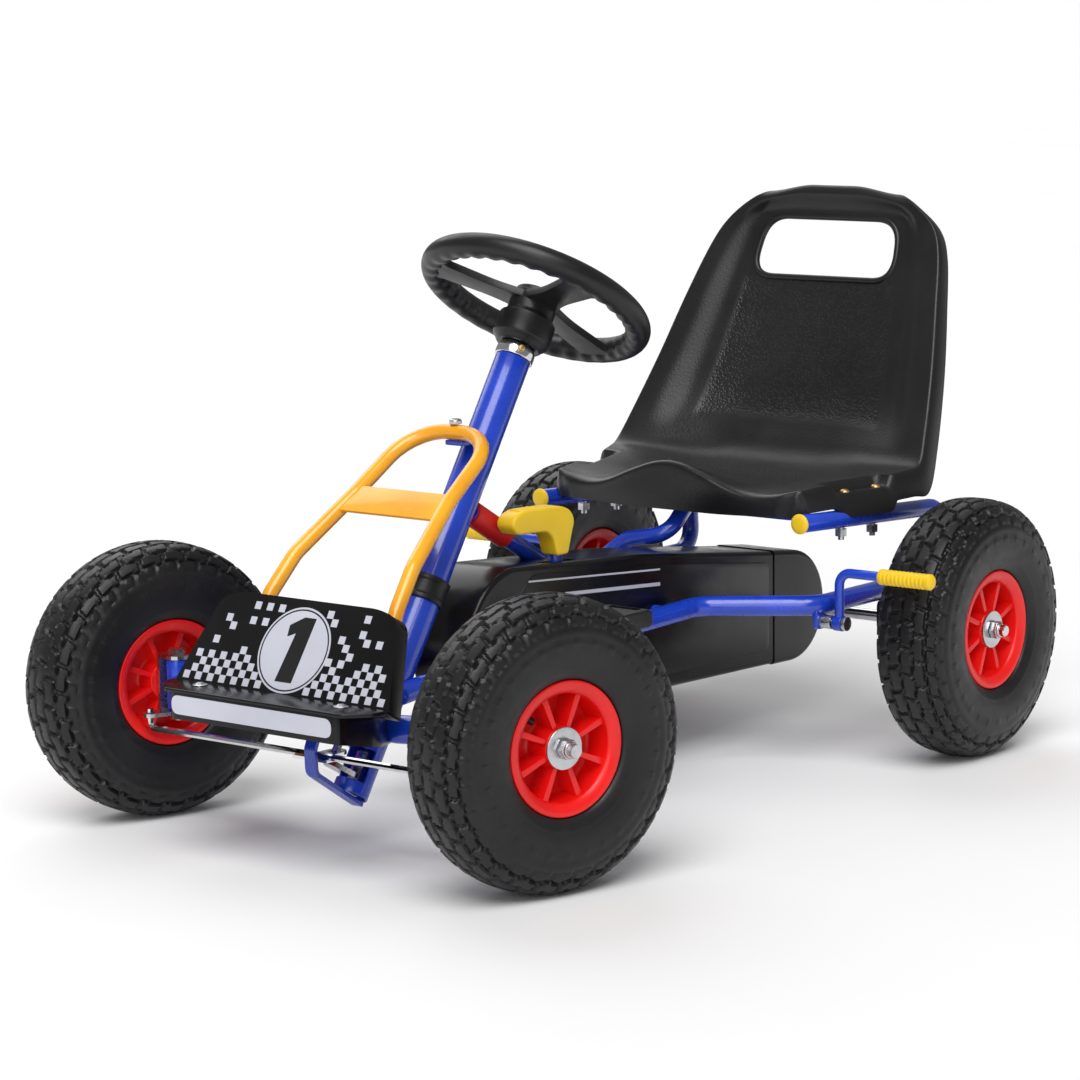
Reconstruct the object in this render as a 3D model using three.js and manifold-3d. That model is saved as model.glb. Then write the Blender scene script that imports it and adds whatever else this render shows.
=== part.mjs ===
// Child's pedal go-kart: steel tube frame, chain drive to the rear axle, column steering,
// bucket seat on two rails, pneumatic tyres on plastic rims.
// Millimetres, +X to the driver's left, +Y to the rear, +Z up.
import * as THREE from 'three';
import { mergeVertices } from 'three/addons/utils/BufferGeometryUtils.js';
import Module from 'manifold-3d';

const wasm = await Module();
wasm.setup();

// ---------------------------------------------------------------- driving dimensions
const wheelbase = 685;
const frontTrack = 496;
const rearTrack = 510;
const tyreRadius = 133;
const tyreHalfWidth = 41;
const wheelSides = 16;
const rimSeatRadius = 52.5;
const rimFlangeRadius = 61;
const rimHalfWidth = 33;
const rimHubRadius = 17;
const hubOuterReach = 27;
const hubInnerReach = 21.5;
const ribCount = 8;
const axleRadius = 6;
const gap = 0.35;
const runningGap = 0.6;

// Heights are in the frame's own coordinates; the whole kart is set down on its tyres at the end.
const axleHeight = 133;
const kingpinInset = 40;
const kingpinRadius = 5;
const sleeveRadius = 10.5;
const sleeveHalfHeight = 24;
const steerArm = 31.5;
const restSteer = THREE.MathUtils.degToRad(-14.5);
const rodRadius = 3.3;
const rodDrop = 13;
const yokePlate = 3.5;

const columnTilt = THREE.MathUtils.degToRad(33.2);
const columnFoot = new THREE.Vector3(0, 62.4, 130.5);
const columnRadius = 17.5;
const columnWall = 2;
const columnTop = 361;
const shaftRadius = 8;
const armDrop = 12.5;
const strapRoom = 10;
const footLength = 18;
const pinRadius = 4;
const steeringRingRadius = 105;
const steeringGripRadius = 12.5;
const steeringWheelStation = 428;

const beamRadius = 13.5;
const beamCentreHeight = 117;
const sideTubeRadius = 10.7;
const railRadius = 9.3;
const railHalfSpan = 165;
const railFrontAhead = 174;
const railBackBehind = 91;
const railFrontHeight = 254;
const railSlope = 0.0527;
const braceRadius = 9.3;
const postRadius = 8.7;
const fairingRadius = 7.4;
const brakeRodRadius = 5;
const brakePivotRadius = 4;

const crankY = 218;
const crankZ = 163;
const crankLength = 72;
const crankArmThickness = 7;
const pedalWidth = 52;
const crankAngle = THREE.MathUtils.degToRad(17);
const crankShaftRadius = 6.5;
const chainPitch = 12.7;
const chainringTeeth = 30;
const sprocketTeeth = 16;
const chainHalfWidth = 4;
const guardHalfWidth = 37;
const guardWall = 2.5;
const guardFrontRadius = 76;
const guardRearRadius = 58.5;
const guardCapAhead = 36;
const capOverlap = 1.2;
const tubeClearance = 4.3;
const braceStation = 205;
const tabStation = 258;

const seatWall = 4.5;

// sizes that follow from the driving dimensions
const facet = Math.PI / wheelSides;
const kingpinHalfSpan = frontTrack / 2 - kingpinInset;
const axleHalfSpan = rearTrack / 2;
const rodHeight = axleHeight - sleeveHalfHeight - yokePlate - rodDrop + 1.6;
const pinHeight = rodHeight - armDrop - steerArm * Math.sin(columnTilt);
const pitmanStation = (pinHeight - columnFoot.z) / Math.cos(columnTilt);
const columnBottom = pitmanStation - footLength;
const chainringRadius = chainPitch / 2 / Math.sin(Math.PI / chainringTeeth);
const sprocketRadius = chainPitch / 2 / Math.sin(Math.PI / sprocketTeeth);
const fairingApex = new THREE.Vector3(0, 172, 371.5);
const railFront = wheelbase - railFrontAhead;
const railBack = wheelbase + railBackBehind;
const capStart = wheelbase - guardCapAhead;
const sideInner = guardHalfWidth + sideTubeRadius + tubeClearance;
const sideOuter = railHalfSpan - 4;
const armInner = sideInner + sideTubeRadius + 2.3;
const armOuter = armInner + crankArmThickness;
const pedalInner = armOuter + 2;
const pedalOuter = pedalInner + pedalWidth;
const rearAxle = new THREE.Vector3(0, wheelbase, axleHeight);
const crankAxis = new THREE.Vector3(0, crankY, crankZ);

// ---------------------------------------------------------------- materials
const BLUE = { color: 0x1030b8, roughness: 0.32, metalness: 0.1 };
const RED = { color: 0xe0101a, roughness: 0.45, metalness: 0 };
const YELLOW = { color: 0xf6cf1a, roughness: 0.5, metalness: 0 };
const AMBER = { color: 0xffb01c, roughness: 0.35, metalness: 0.1 };
const BLACK = { color: 0x17171a, roughness: 0.5, metalness: 0 };
const RUBBER = { color: 0x161617, roughness: 0.8, metalness: 0 };
const STEEL = { color: 0xb9bcc0, roughness: 0.3, metalness: 0.9 };

const kart = new THREE.Group();

function addNode(parent, name, geometry, look) {
  const material = new THREE.MeshStandardMaterial(look);
  const mesh = new THREE.Mesh(geometry, material);
  mesh.name = name;
  parent.add(mesh);
  return mesh;
}

function addGroup(parent, position, rotate = {}) {
  const group = new THREE.Group();
  group.position.copy(position);
  group.rotation.set(rotate.x ?? 0, rotate.y ?? 0, rotate.z ?? 0);
  parent.add(group);
  return group;
}

// ---------------------------------------------------------------- solids
function signedVolume(position, index) {
  const a = new THREE.Vector3();
  const b = new THREE.Vector3();
  const c = new THREE.Vector3();
  let sum = 0;
  for (let i = 0; i < index.length; i += 3) {
    a.fromBufferAttribute(position, index[i]);
    b.fromBufferAttribute(position, index[i + 1]);
    c.fromBufferAttribute(position, index[i + 2]);
    sum += a.dot(b.cross(c));
  }
  return sum;
}

// A closed three.js geometry becomes a solid whose faces point out.
function toSolid(source) {
  const bare = source.clone();
  bare.deleteAttribute('normal');
  bare.deleteAttribute('uv');
  const merged = mergeVertices(bare, 1e-4);
  const index = Array.from(merged.index.array);
  const triangles = [];
  for (let i = 0; i < index.length; i += 3) {
    const [a, b, c] = index.slice(i, i + 3);
    if (a !== b && b !== c && c !== a) triangles.push(a, b, c);
  }
  if (signedVolume(merged.attributes.position, triangles) < 0) triangles.reverse();
  return new wasm.Manifold(new wasm.Mesh({
    numProp: 3,
    vertProperties: Float32Array.from(merged.attributes.position.array),
    triVerts: Uint32Array.from(triangles),
  }));
}

function toGeometry(solid) {
  const mesh = solid.getMesh();
  const geometry = new THREE.BufferGeometry();
  geometry.setAttribute('position', new THREE.BufferAttribute(mesh.vertProperties, 3));
  geometry.setIndex(new THREE.BufferAttribute(mesh.triVerts, 1));
  geometry.computeVertexNormals();
  return geometry;
}

const joined = (...solids) => solids.reduce((sum, solid) => sum.add(solid));
const less = (solid, ...cuts) => cuts.reduce((rest, cut) => rest.subtract(cut), solid);
const toPlace = (x, y, z) => (geometry) => geometry.translate(x, y, z);

// Box from its lowest and highest corners.
function block(low, high) {
  const size = high.map((value, i) => value - low[i]);
  const middle = high.map((value, i) => (value + low[i]) / 2);
  return toSolid(toPlace(...middle)(new THREE.BoxGeometry(...size)));
}

// Solid of revolution about X from a profile of [x, radius] points.
// A profile that stays off the axis closes on itself.
function turnedX(profile, sides, phase = facet) {
  const onAxis = profile[0][1] === 0;
  const points = profile.map(([x, radius]) => new THREE.Vector2(radius, x));
  if (!onAxis) points.push(points[0].clone());
  const lathe = new THREE.LatheGeometry(points, sides, phase, Math.PI * 2);
  return toSolid(lathe.rotateZ(-Math.PI / 2));
}

function rodX(x0, x1, radius, sides = 12, y = 0, z = 0) {
  const profile = [[x0, 0], [x0, radius], [x1, radius], [x1, 0]];
  return turnedX(profile, sides, Math.PI / sides).translate([0, y, z]);
}

function turnedZ(profile, sides) {
  const onAxis = profile[0][0] === 0;
  const points = profile.map(([radius, z]) => new THREE.Vector2(radius, z));
  if (!onAxis) points.push(points[0].clone());
  const lathe = new THREE.LatheGeometry(points, sides, Math.PI / sides, Math.PI * 2);
  return toSolid(lathe.rotateX(Math.PI / 2));
}

function rodZ(z0, z1, radius, sides = 12, x = 0, y = 0) {
  const profile = [[0, z0], [radius, z0], [radius, z1], [0, z1]];
  return turnedZ(profile, sides).translate([x, y, 0]);
}

// Plate of an outline in X and Y, from one height to another.
function plateZ(outline, z0, z1) {
  const shape = new THREE.Shape(outline.map(([x, y]) => new THREE.Vector2(x, y)));
  const geometry = new THREE.ExtrudeGeometry(shape, { depth: z1 - z0, bevelEnabled: false });
  return toSolid(geometry.translate(0, 0, z0));
}

// Plate of an outline in Y and Z, from one X to another.
function plateX(outline, x0, x1) {
  const shape = new THREE.Shape(outline.map(([y, z]) => new THREE.Vector2(y, z)));
  const geometry = new THREE.ExtrudeGeometry(shape, { depth: x1 - x0, bevelEnabled: false });
  geometry.rotateY(Math.PI / 2).rotateX(Math.PI / 2);
  return toSolid(geometry.translate(x0, 0, 0));
}

function arc(cx, cy, radius, from, to, count) {
  const points = [];
  for (let i = 0; i <= count; i += 1) {
    const angle = from + (to - from) * i / count;
    points.push([cx + radius * Math.cos(angle), cy + radius * Math.sin(angle)]);
  }
  return points;
}

// ---------------------------------------------------------------- bent tubes
// A path of straight lengths and round bends: one section at each end of every straight
// length, and a few round each bend.
class BentPath extends THREE.Curve {
  constructor(stations) {
    super();
    this.stations = stations;
  }

  station(u) {
    return this.stations[Math.round(u * (this.stations.length - 1))];
  }

  getPointAt(u) {
    return this.station(u).point.clone();
  }

  getTangentAt(u) {
    return this.station(u).tangent.clone();
  }
}

function bentPath(corners, bendRadius, bendSteps) {
  const points = corners.map((corner) => new THREE.Vector3(...corner));
  const last = points.length - 1;
  const along = (i) => points[i + 1].clone().sub(points[i]).normalize();
  const stations = [{ point: points[0], tangent: along(0) }];
  for (let i = 1; i < last; i += 1) {
    const into = along(i - 1);
    const out = along(i);
    const turn = into.angleTo(out);
    const room = Math.min(points[i].distanceTo(points[i - 1]), points[i].distanceTo(points[i + 1])) * 0.48;
    const setback = Math.min(bendRadius * Math.tan(turn / 2), room);
    const radius = setback / Math.tan(turn / 2);
    const start = points[i].clone().addScaledVector(into, -setback);
    const side = out.clone().addScaledVector(into, -out.dot(into)).normalize();
    for (let step = 0; step <= bendSteps; step += 1) {
      const angle = turn * step / bendSteps;
      const point = start.clone().addScaledVector(into, radius * Math.sin(angle));
      point.addScaledVector(side, radius * (1 - Math.cos(angle)));
      const tangent = into.clone().multiplyScalar(Math.cos(angle));
      tangent.addScaledVector(side, Math.sin(angle));
      stations.push({ point, tangent });
    }
  }
  stations.push({ point: points[last], tangent: along(last - 1) });
  return new BentPath(stations);
}

function sweep(outline, corners, bendRadius, bendSteps) {
  const path = bentPath(corners, bendRadius, bendSteps);
  const shape = new THREE.Shape(outline.map(([x, y]) => new THREE.Vector2(x, y)));
  const steps = path.stations.length - 1;
  return toSolid(new THREE.ExtrudeGeometry(shape, { steps, extrudePath: path }));
}

function tube(corners, radius, bendRadius = 30, sides = 10, bendSteps = 3) {
  const section = arc(0, 0, radius, 0, 2 * Math.PI, sides).slice(0, sides);
  return sweep(section, corners, bendRadius, bendSteps);
}

// Straight rod between two points.
const strut = (from, to, radius, sides = 10) => tube([from, to], radius, 1, sides);
const mirrored = (corners) => corners.map(([x, y, z]) => [-x, y, z]);

// ---------------------------------------------------------------- wheels
function tyreSolid() {
  const between = (share) => THREE.MathUtils.lerp(rimFlangeRadius, tyreRadius, share);
  const half = [
    [25.7, rimSeatRadius + gap],
    [28.6, rimFlangeRadius + gap],
    [rimHalfWidth + 0.5, rimFlangeRadius + gap],
    [tyreHalfWidth - 2.5, between(0.2)],
    [tyreHalfWidth, between(0.45)],
    [tyreHalfWidth - 3, between(0.72)],
    [tyreHalfWidth - 9, between(0.9)],
    [tyreHalfWidth - 17, tyreRadius],
  ];
  const other = half.map(([x, radius]) => [-x, radius]).reverse();
  const profile = [...half, ...other];
  const spread = 1 / Math.cos(facet);
  return turnedX(profile.map(([x, radius]) => [x, radius * spread]), wheelSides);
}

// Rim of a left wheel: the hub reaches further out than in, to leave room for the knuckle.
function rimSolid(side) {
  const hub = (reach) => [
    [3, 20],
    [reach, rimHubRadius],
    [reach, axleRadius + runningGap],
  ];
  const seat = [
    [26, rimSeatRadius],
    [29, rimFlangeRadius],
    [rimHalfWidth, rimFlangeRadius],
    [rimHalfWidth, 57],
    [31, 52],
    [28, 48.5],
    [3, 48.5],
  ];
  const outer = [...seat, ...hub(hubOuterReach)];
  const inner = [...seat, ...hub(hubInnerReach)].map(([x, radius]) => [-x, radius]);
  const profile = [...outer, ...inner.reverse()];
  const spread = 1 / Math.cos(facet);
  let rim = turnedX(profile.map(([x, radius]) => [x, radius * spread]), wheelSides);
  for (let i = 0; i < ribCount; i += 1) {
    const rib = plateX([[15, -2], [15, 2], [50.5, 2.4], [50.5, -2.4]], 2 - hubInnerReach, hubOuterReach - 2);
    rim = rim.add(rib.rotate([(i + 0.5) * 360 / ribCount, 0, 0]));
  }
  return side > 0 ? rim : rim.mirror([1, 0, 0]);
}

// Washer and nut outside the hub; side is +1 on the left wheels and -1 on the right.
function hubNutSolid(side) {
  const washer = rodX(hubOuterReach + gap, 30, 19, 12);
  const nut = rodX(30 - 0.01, 40, 9.5, 6);
  const bore = rodX(20, 45, axleRadius + gap, 12);
  const solid = less(washer.add(nut), bore);
  return side > 0 ? solid : solid.mirror([1, 0, 0]);
}

function addWheel(parent, name, side, at) {
  const wheel = addGroup(parent, at);
  addNode(wheel, `tyre_${name}`, toGeometry(tyreSolid()), RUBBER);
  addNode(wheel, `rim_${name}`, toGeometry(rimSolid(side)), RED);
  addNode(wheel, `hub_nut_${name}`, toGeometry(hubNutSolid(side)), STEEL);
}

// ---------------------------------------------------------------- steering column
const columnFrame = new THREE.Euler(-columnTilt, 0, 0);

// A point on the column's axis, or in front of it, at a station along it.
function onColumn(station, ahead = 0, left = 0) {
  return new THREE.Vector3(left, -ahead, station).applyEuler(columnFrame).add(columnFoot);
}

function placedOnColumn(solid) {
  const degrees = THREE.MathUtils.radToDeg(columnTilt);
  return solid.rotate([-degrees, 0, 0]).translate(columnFoot.toArray());
}

const columnCut = placedOnColumn(rodZ(columnBottom - gap, columnTop + gap, columnRadius + gap, 16));

function columnTubeSolid() {
  const inner = columnRadius - columnWall;
  const profile = [
    [inner, columnBottom],
    [columnRadius, columnBottom],
    [columnRadius, columnTop],
    [inner, columnTop],
  ];
  const pipe = turnedZ(profile, 16);
  const window = block([-20, -30, pitmanStation - 6], [20, -4, pitmanStation + 26]);
  const pipePlaced = placedOnColumn(less(pipe, window));
  const tabSeat = onColumn(tabStation, columnRadius + 10);
  const tabTop = fairingApex.z - fairingRadius - gap;
  const tab = less(
    block([-11, tabSeat.y - 12, tabTop - 5], [11, tabSeat.y + 22, tabTop]),
    rodZ(tabTop - 20, tabTop + 20, 3.6, 8, 0, fairingApex.y),
  );
  const bore = placedOnColumn(rodZ(columnBottom, columnTop, inner, 16));
  return less(joined(pipePlaced, tab), bore);
}

function addSteering() {
  addNode(kart, 'column_tube', toGeometry(columnTubeSolid()), BLUE);

  const collar = turnedZ([
    [shaftRadius + runningGap, columnTop + gap],
    [columnRadius + 2, columnTop + gap],
    [columnRadius + 2, columnTop + 14],
    [shaftRadius + runningGap, columnTop + 14],
  ], 16);
  addNode(kart, 'column_collar', toGeometry(placedOnColumn(collar)), STEEL);

  const band = turnedZ([
    [columnRadius + gap, 101],
    [columnRadius + 3, 101],
    [columnRadius + 3, 125],
    [columnRadius + gap, 125],
  ], 16);
  addNode(kart, 'column_band', toGeometry(placedOnColumn(band)), BLACK);

  const column = addGroup(kart, columnFoot, { x: -columnTilt });
  const steering = addGroup(column, new THREE.Vector3(), { z: restSteer });
  addNode(steering, 'steering_shaft', toGeometry(steeringShaftSolid()), STEEL);
  addNode(steering, 'steering_wheel', toGeometry(steeringWheelSolid()), BLACK);
}

function steeringShaftSolid() {
  const shaft = rodZ(columnBottom + 2, steeringWheelStation - 12, shaftRadius, 12);
  const outline = [
    [-7, 4],
    ...arc(0, -steerArm, 7, Math.PI, 2 * Math.PI, 5),
    [7, 4],
  ];
  const arm = plateZ(outline, pitmanStation - 2.5, pitmanStation + 2.5);
  const pin = rodZ(pitmanStation - 2.5, pitmanStation + 24, pinRadius, 8, 0, -steerArm);
  return joined(shaft, arm, pin);
}

function steeringWheelSolid() {
  const section = arc(steeringRingRadius, steeringWheelStation, steeringGripRadius, 0, 2 * Math.PI, 8);
  const ring = turnedZ(section.slice(0, 8), 24);
  const neck = columnTop + 14 + gap;
  const hub = turnedZ([
    [0, neck],
    [15, neck],
    [26, neck + 9],
    [26, neck + 26],
    [20, neck + 32],
    [20, steeringWheelStation + 2],
    [0, steeringWheelStation + 2],
  ], 14);
  const spokeAngles = [96, -12, -122];
  let wheel = ring.add(hub);
  for (const angle of spokeAngles) {
    const outline = [[8, -18], [steeringRingRadius - 4, -14], [steeringRingRadius - 4, 14], [8, 18]];
    const spoke = plateZ(outline, steeringWheelStation - 9, steeringWheelStation - 2);
    wheel = wheel.add(spoke.rotate([0, 0, angle]));
  }
  return less(wheel, rodZ(columnBottom, steeringWheelStation - 12 + gap, shaftRadius + gap, 12));
}

// ---------------------------------------------------------------- front axle
const beamCorners = [
  [-kingpinHalfSpan, 0, axleHeight],
  [-70, 0, beamCentreHeight + 5],
  [70, 0, beamCentreHeight + 5],
  [kingpinHalfSpan, 0, axleHeight],
];

function frontBeamSolid() {
  const low = axleHeight - sleeveHalfHeight;
  const high = axleHeight + sleeveHalfHeight;
  let beam = tube(beamCorners, beamRadius, 60, 12);
  for (const side of [-1, 1]) {
    beam = beam.add(rodZ(low, high, sleeveRadius, 12, side * kingpinHalfSpan));
  }
  const beyond = kingpinHalfSpan + sleeveRadius * 0.9;
  beam = less(
    beam,
    block([beyond, -40, 0], [beyond + 60, 40, 300]),
    block([-beyond - 60, -40, 0], [-beyond, 40, 300]),
  );
  const saddleFront = beamCentreHeight + 5;
  const saddle = block([-14, 2, saddleFront - 8], [14, 60, saddleFront + 8]);
  beam = less(beam.add(saddle), columnCut);
  for (const side of [-1, 1]) {
    beam = beam.subtract(rodZ(low - 20, high + 20, kingpinRadius + gap, 12, side * kingpinHalfSpan));
  }
  return beam;
}

// Strap that closes the column's lower end and runs forward and up to the axle beam.
function pitmanGuardSolid() {
  const start = onColumn(columnBottom - 2.4, -columnRadius + 2);
  const corner = onColumn(columnBottom - 2.4, columnRadius + steerArm + strapRoom);
  const front = corner.y - 1;
  const section = [[-2, -6.5], [2, -6.5], [2, 6.5], [-2, 6.5]];
  const route = [
    start.toArray(),
    corner.toArray(),
    [0, front, rodHeight + 8],
    [0, front + 9, beamCentreHeight + 5],
    [0, 0, beamCentreHeight + 5],
  ];
  const strap = sweepFlat(section, route);
  return less(strap, tube(beamCorners, beamRadius + gap, 60, 12), columnCut);
}

// Flat strap along a path in the kart's middle plane, its width across the kart.
function sweepFlat(section, route) {
  const path = bentPath(route, 9, 3);
  const halfThickness = section[1][0];
  const halfWidth = section[2][1];
  const outer = [];
  const inner = [];
  for (const { point, tangent } of path.stations) {
    outer.push([point.y + tangent.z * halfThickness, point.z - tangent.y * halfThickness]);
    inner.push([point.y - tangent.z * halfThickness, point.z + tangent.y * halfThickness]);
  }
  return plateX([...outer, ...inner.reverse()], -halfWidth, halfWidth);
}

// Knuckle in its own frame: the kingpin is the origin, side is +1 for the left one.
function knuckleSolid(side) {
  const low = -sleeveHalfHeight - runningGap;
  const high = sleeveHalfHeight + runningGap;
  const outline = [[17, -12], [17, 12], ...arc(0, 0, 12, Math.PI / 2, Math.PI * 1.5, 6)];
  const armOutline = [
    ...arc(0, 0, 12, 0, Math.PI, 6),
    ...arc(0, -steerArm, 7.5, Math.PI, 2 * Math.PI, 6),
  ];
  const top = plateZ(outline, high, high + yokePlate);
  const bottom = plateZ(outline, low - yokePlate, low);
  const arm = plateZ(armOutline, low - yokePlate, low);
  const web = block([13, -12, low - yokePlate], [17, 12, high + yokePlate]);
  const stub = rodX(15, kingpinInset + 46, axleRadius, 12);
  const bore = rodZ(-60, 60, kingpinRadius + runningGap, 12);
  const rodBore = rodZ(-60, 60, rodRadius + runningGap + 0.2, 8, 0, -steerArm);
  const knuckle = less(joined(top, bottom, web, stub), bore);
  const solid = less(knuckle.add(less(arm, bore)), rodBore);
  return side > 0 ? solid : solid.mirror([1, 0, 0]);
}

function kingpinSolid() {
  const low = axleHeight - sleeveHalfHeight - runningGap - yokePlate - gap;
  const high = axleHeight + sleeveHalfHeight + runningGap + yokePlate + gap;
  return joined(
    rodZ(low - 5.5, high + 5, kingpinRadius, 12),
    rodZ(high, high + 5.5, 8.5, 6),
    rodZ(low - 6, low, 8.5, 6),
  );
}

// Track rod in its own frame: origin midway between the two upturned ends.
function trackRodSolid() {
  const end = kingpinHalfSpan;
  const tip = rodDrop + yokePlate + 2;
  const rod = tube([[-end, 0, tip], [-end, 0, 0], [end, 0, 0], [end, 0, tip]], rodRadius, 7, 8);
  const pinReach = steerArm * (1 - Math.cos(columnTilt)) + pinOffset();
  const outline = [
    [-21, -5],
    [21, -5],
    [21, 5],
    [11, 8],
    ...arc(0, pinReach + 1, 10, 0, Math.PI, 6),
    [-11, 8],
    [-21, 5],
  ];
  const plate = plateZ(outline, -rodRadius - 1.5, -rodRadius + 1.5);
  const slot = block([-4.7, pinReach - 7, -20], [4.7, pinReach + 7, 0]);
  return less(joined(rod, less(plate, slot)), slot);
}

// How far behind the rod the steering pin crosses the drag plate with the wheels straight,
// less the difference that the column's slope makes to the arm's reach.
function pinOffset() {
  const pin = onColumn(pitmanStation, steerArm);
  const rise = rodHeight - rodRadius - pin.z;
  const crossing = pin.y + rise * Math.tan(columnTilt);
  return crossing + steerArm - steerArm * (1 - Math.cos(columnTilt)) + 0.4;
}

function addFrontEnd() {
  addNode(kart, 'front_beam', toGeometry(frontBeamSolid()), BLUE);
  addNode(kart, 'pitman_guard', toGeometry(pitmanGuardSolid()), BLUE);
  for (const [name, side] of [['left', 1], ['right', -1]]) {
    const x = side * kingpinHalfSpan;
    addNode(kart, `kingpin_${name}`, toGeometry(kingpinSolid().translate([x, 0, 0])), STEEL);
    const knuckle = addGroup(kart, new THREE.Vector3(x, 0, axleHeight), { z: restSteer });
    addNode(knuckle, `knuckle_${name}`, toGeometry(knuckleSolid(side)), STEEL);
    addWheel(knuckle, `front_${name}`, side, new THREE.Vector3(side * kingpinInset, 0, 0));
  }
  const sway = new THREE.Vector3(steerArm * Math.sin(restSteer), -steerArm * Math.cos(restSteer), rodHeight);
  const rod = addGroup(kart, sway);
  addNode(rod, 'track_rod', toGeometry(trackRodSolid()), STEEL);
}

// ---------------------------------------------------------------- frame tubes
const sideCorners = [
  [19, 62, 138],
  [21, 100, 142],
  [sideInner, 138, 144],
  [sideInner + 2, crankY + 72, 146],
  [sideInner + 4, wheelbase - 313, 161],
  [sideInner + 5, wheelbase - 202, 164],
  [sideOuter + 2, wheelbase - 139, 166],
  [sideOuter, wheelbase + 27, 165],
];
const sideEnd = sideCorners[sideCorners.length - 1];
const brakeY = wheelbase - 137;
const brakeZ = 150;
const bridgeY = wheelbase - 248;
const bridgeZ = 162.5;
const braceTop = onColumn(braceStation);
const braceFoot = new THREE.Vector3(-24, bridgeY, bridgeZ);

function sideTubeCore(radius) {
  return tube(sideCorners, radius, 28, 8, 1);
}

function sideTubeSolid() {
  const housing = less(
    block([sideInner - 6, crankY - 15, 140], [armInner - 3, crankY + 15, crankZ + 14]),
    rodX(40, 90, crankShaftRadius + runningGap, 12, crankY, crankZ),
  );
  const lug = block([160, brakeY - 8, brakeZ - 8], [166.5, brakeY + 8, 162]);
  const bolt = rodX(164, 197, brakePivotRadius, 10, brakeY, brakeZ);
  const head = rodX(193, 197, 7, 6, brakeY, brakeZ);
  const spacer = rodX(166, 180, 7, 10, brakeY, brakeZ);
  return less(joined(sideTubeCore(sideTubeRadius), housing, lug, bolt, head, spacer), columnCut);
}

const railHeight = (y) => railFrontHeight - (y - railFront) * railSlope;
const boltYs = { front: wheelbase - 101, rear: wheelbase - 43 };
const crossbarY = wheelbase - 119;

function railSolid() {
  const rail = tube([
    [railHalfSpan, railFront, railFrontHeight],
    [railHalfSpan, railBack, railHeight(railBack)],
    [sideEnd[0], railBack, sideEnd[2]],
    [sideEnd[0], sideEnd[1] + 0.7, sideEnd[2]],
  ], railRadius, 26, 8, 2);
  const bores = Object.values(boltYs).map((y) => rodZ(200, 300, 3.7, 8, railHalfSpan, y));
  return less(rail, ...bores);
}

function seatBoltSolid(y) {
  const low = railHeight(y) - railRadius;
  const bolt = rodZ(low - 12, low + 32, 3.2, 8, railHalfSpan, y);
  const nut = rodZ(low - 8, low - 0.8, 6.5, 6, railHalfSpan, y);
  return bolt.add(nut);
}

function seatPostSolid(rails) {
  const level = railHeight(crossbarY);
  const bar = block(
    [-railHalfSpan + 2, crossbarY - 15, level - 2],
    [railHalfSpan - 2, crossbarY + 15, level + 2],
  );
  const post = tube([
    [-13, crossbarY - 6, level],
    [-13, railFront + 19, 226],
    [-60, railFront + 9, 218],
    [-112, railFront + 3, 178],
    [-112, railFront + 5, 168],
  ], postRadius, 24, 8, 2);
  const sideRight = sideTubeCore(sideTubeRadius + gap).mirror([1, 0, 0]);
  return less(bar.add(post), sideRight, ...rails);
}

function braceSolid() {
  const rod = strut(braceTop.toArray(), braceFoot.toArray(), braceRadius);
  const bridge = rodX(-sideInner - 4, sideInner + 4, 8, 10, bridgeY, bridgeZ);
  const sides = sideTubeCore(sideTubeRadius + gap);
  return less(rod.add(bridge), columnCut, sides, sides.mirror([1, 0, 0]));
}

function braceSleeveSolid() {
  const along = braceFoot.clone().sub(braceTop).normalize();
  const from = braceTop.clone().addScaledVector(along, 8);
  const to = braceTop.clone().addScaledVector(along, 88);
  const outer = strut(from.toArray(), to.toArray(), 12.5, 12);
  const inner = strut(
    from.clone().addScaledVector(along, -20).toArray(),
    to.clone().addScaledVector(along, 20).toArray(),
    braceRadius + gap,
    10,
  );
  return less(outer, inner, columnCut);
}

function axleBearingSolid() {
  const top = sideEnd[2] - sideTubeRadius - gap;
  const x = sideEnd[0];
  const housing = block([x - 8, wheelbase - 17, axleHeight - 15], [x + 8, wheelbase + 17, top]);
  return less(housing, rodX(x - 20, x + 20, axleRadius + runningGap, 12, wheelbase, axleHeight));
}

function addFrame() {
  const rail = railSolid();
  const side = sideTubeSolid();
  const sideways = [['left', (solid) => solid], ['right', (solid) => solid.mirror([1, 0, 0])]];
  for (const [name, turn] of sideways) {
    addNode(kart, `side_tube_${name}`, toGeometry(turn(side)), BLUE);
    addNode(kart, `seat_rail_${name}`, toGeometry(turn(rail)), BLUE);
    addNode(kart, `rail_cap_${name}`, toGeometry(turn(railCapSolid())), YELLOW);
    addNode(kart, `axle_bearing_${name}`, toGeometry(turn(axleBearingSolid())), BLACK);
    for (const [place, y] of Object.entries(boltYs)) {
      addNode(kart, `seat_bolt_${place}_${name}`, toGeometry(turn(seatBoltSolid(y))), STEEL);
    }
  }
  const clear = tube([
    [railHalfSpan, railFront, railFrontHeight],
    [railHalfSpan, railBack, railHeight(railBack)],
  ], railRadius + gap, 20, 10);
  addNode(kart, 'seat_post', toGeometry(seatPostSolid([clear, clear.mirror([1, 0, 0])])), BLUE);
  addNode(kart, 'brace_tube', toGeometry(braceSolid()), BLUE);
  addNode(kart, 'brace_sleeve', toGeometry(braceSleeveSolid()), RED);
}

function railCapSolid() {
  return strut(
    [railHalfSpan, railFront - 5, railFrontHeight],
    [railHalfSpan, railFront - 1, railFrontHeight],
    railRadius + 1,
    12,
  );
}

// ---------------------------------------------------------------- fairing and shield
const fairingCorners = [
  [86, -104, 147],
  [82, -50, 150],
  [75, 4, 251],
  [57, 92, 317],
  [50, fairingApex.y, fairingApex.z],
];
const fairingRoute = [...fairingCorners, ...mirrored(fairingCorners).reverse()];

function fairingTube(radius) {
  return tube(fairingRoute, radius, 36, 8, 2);
}

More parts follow.
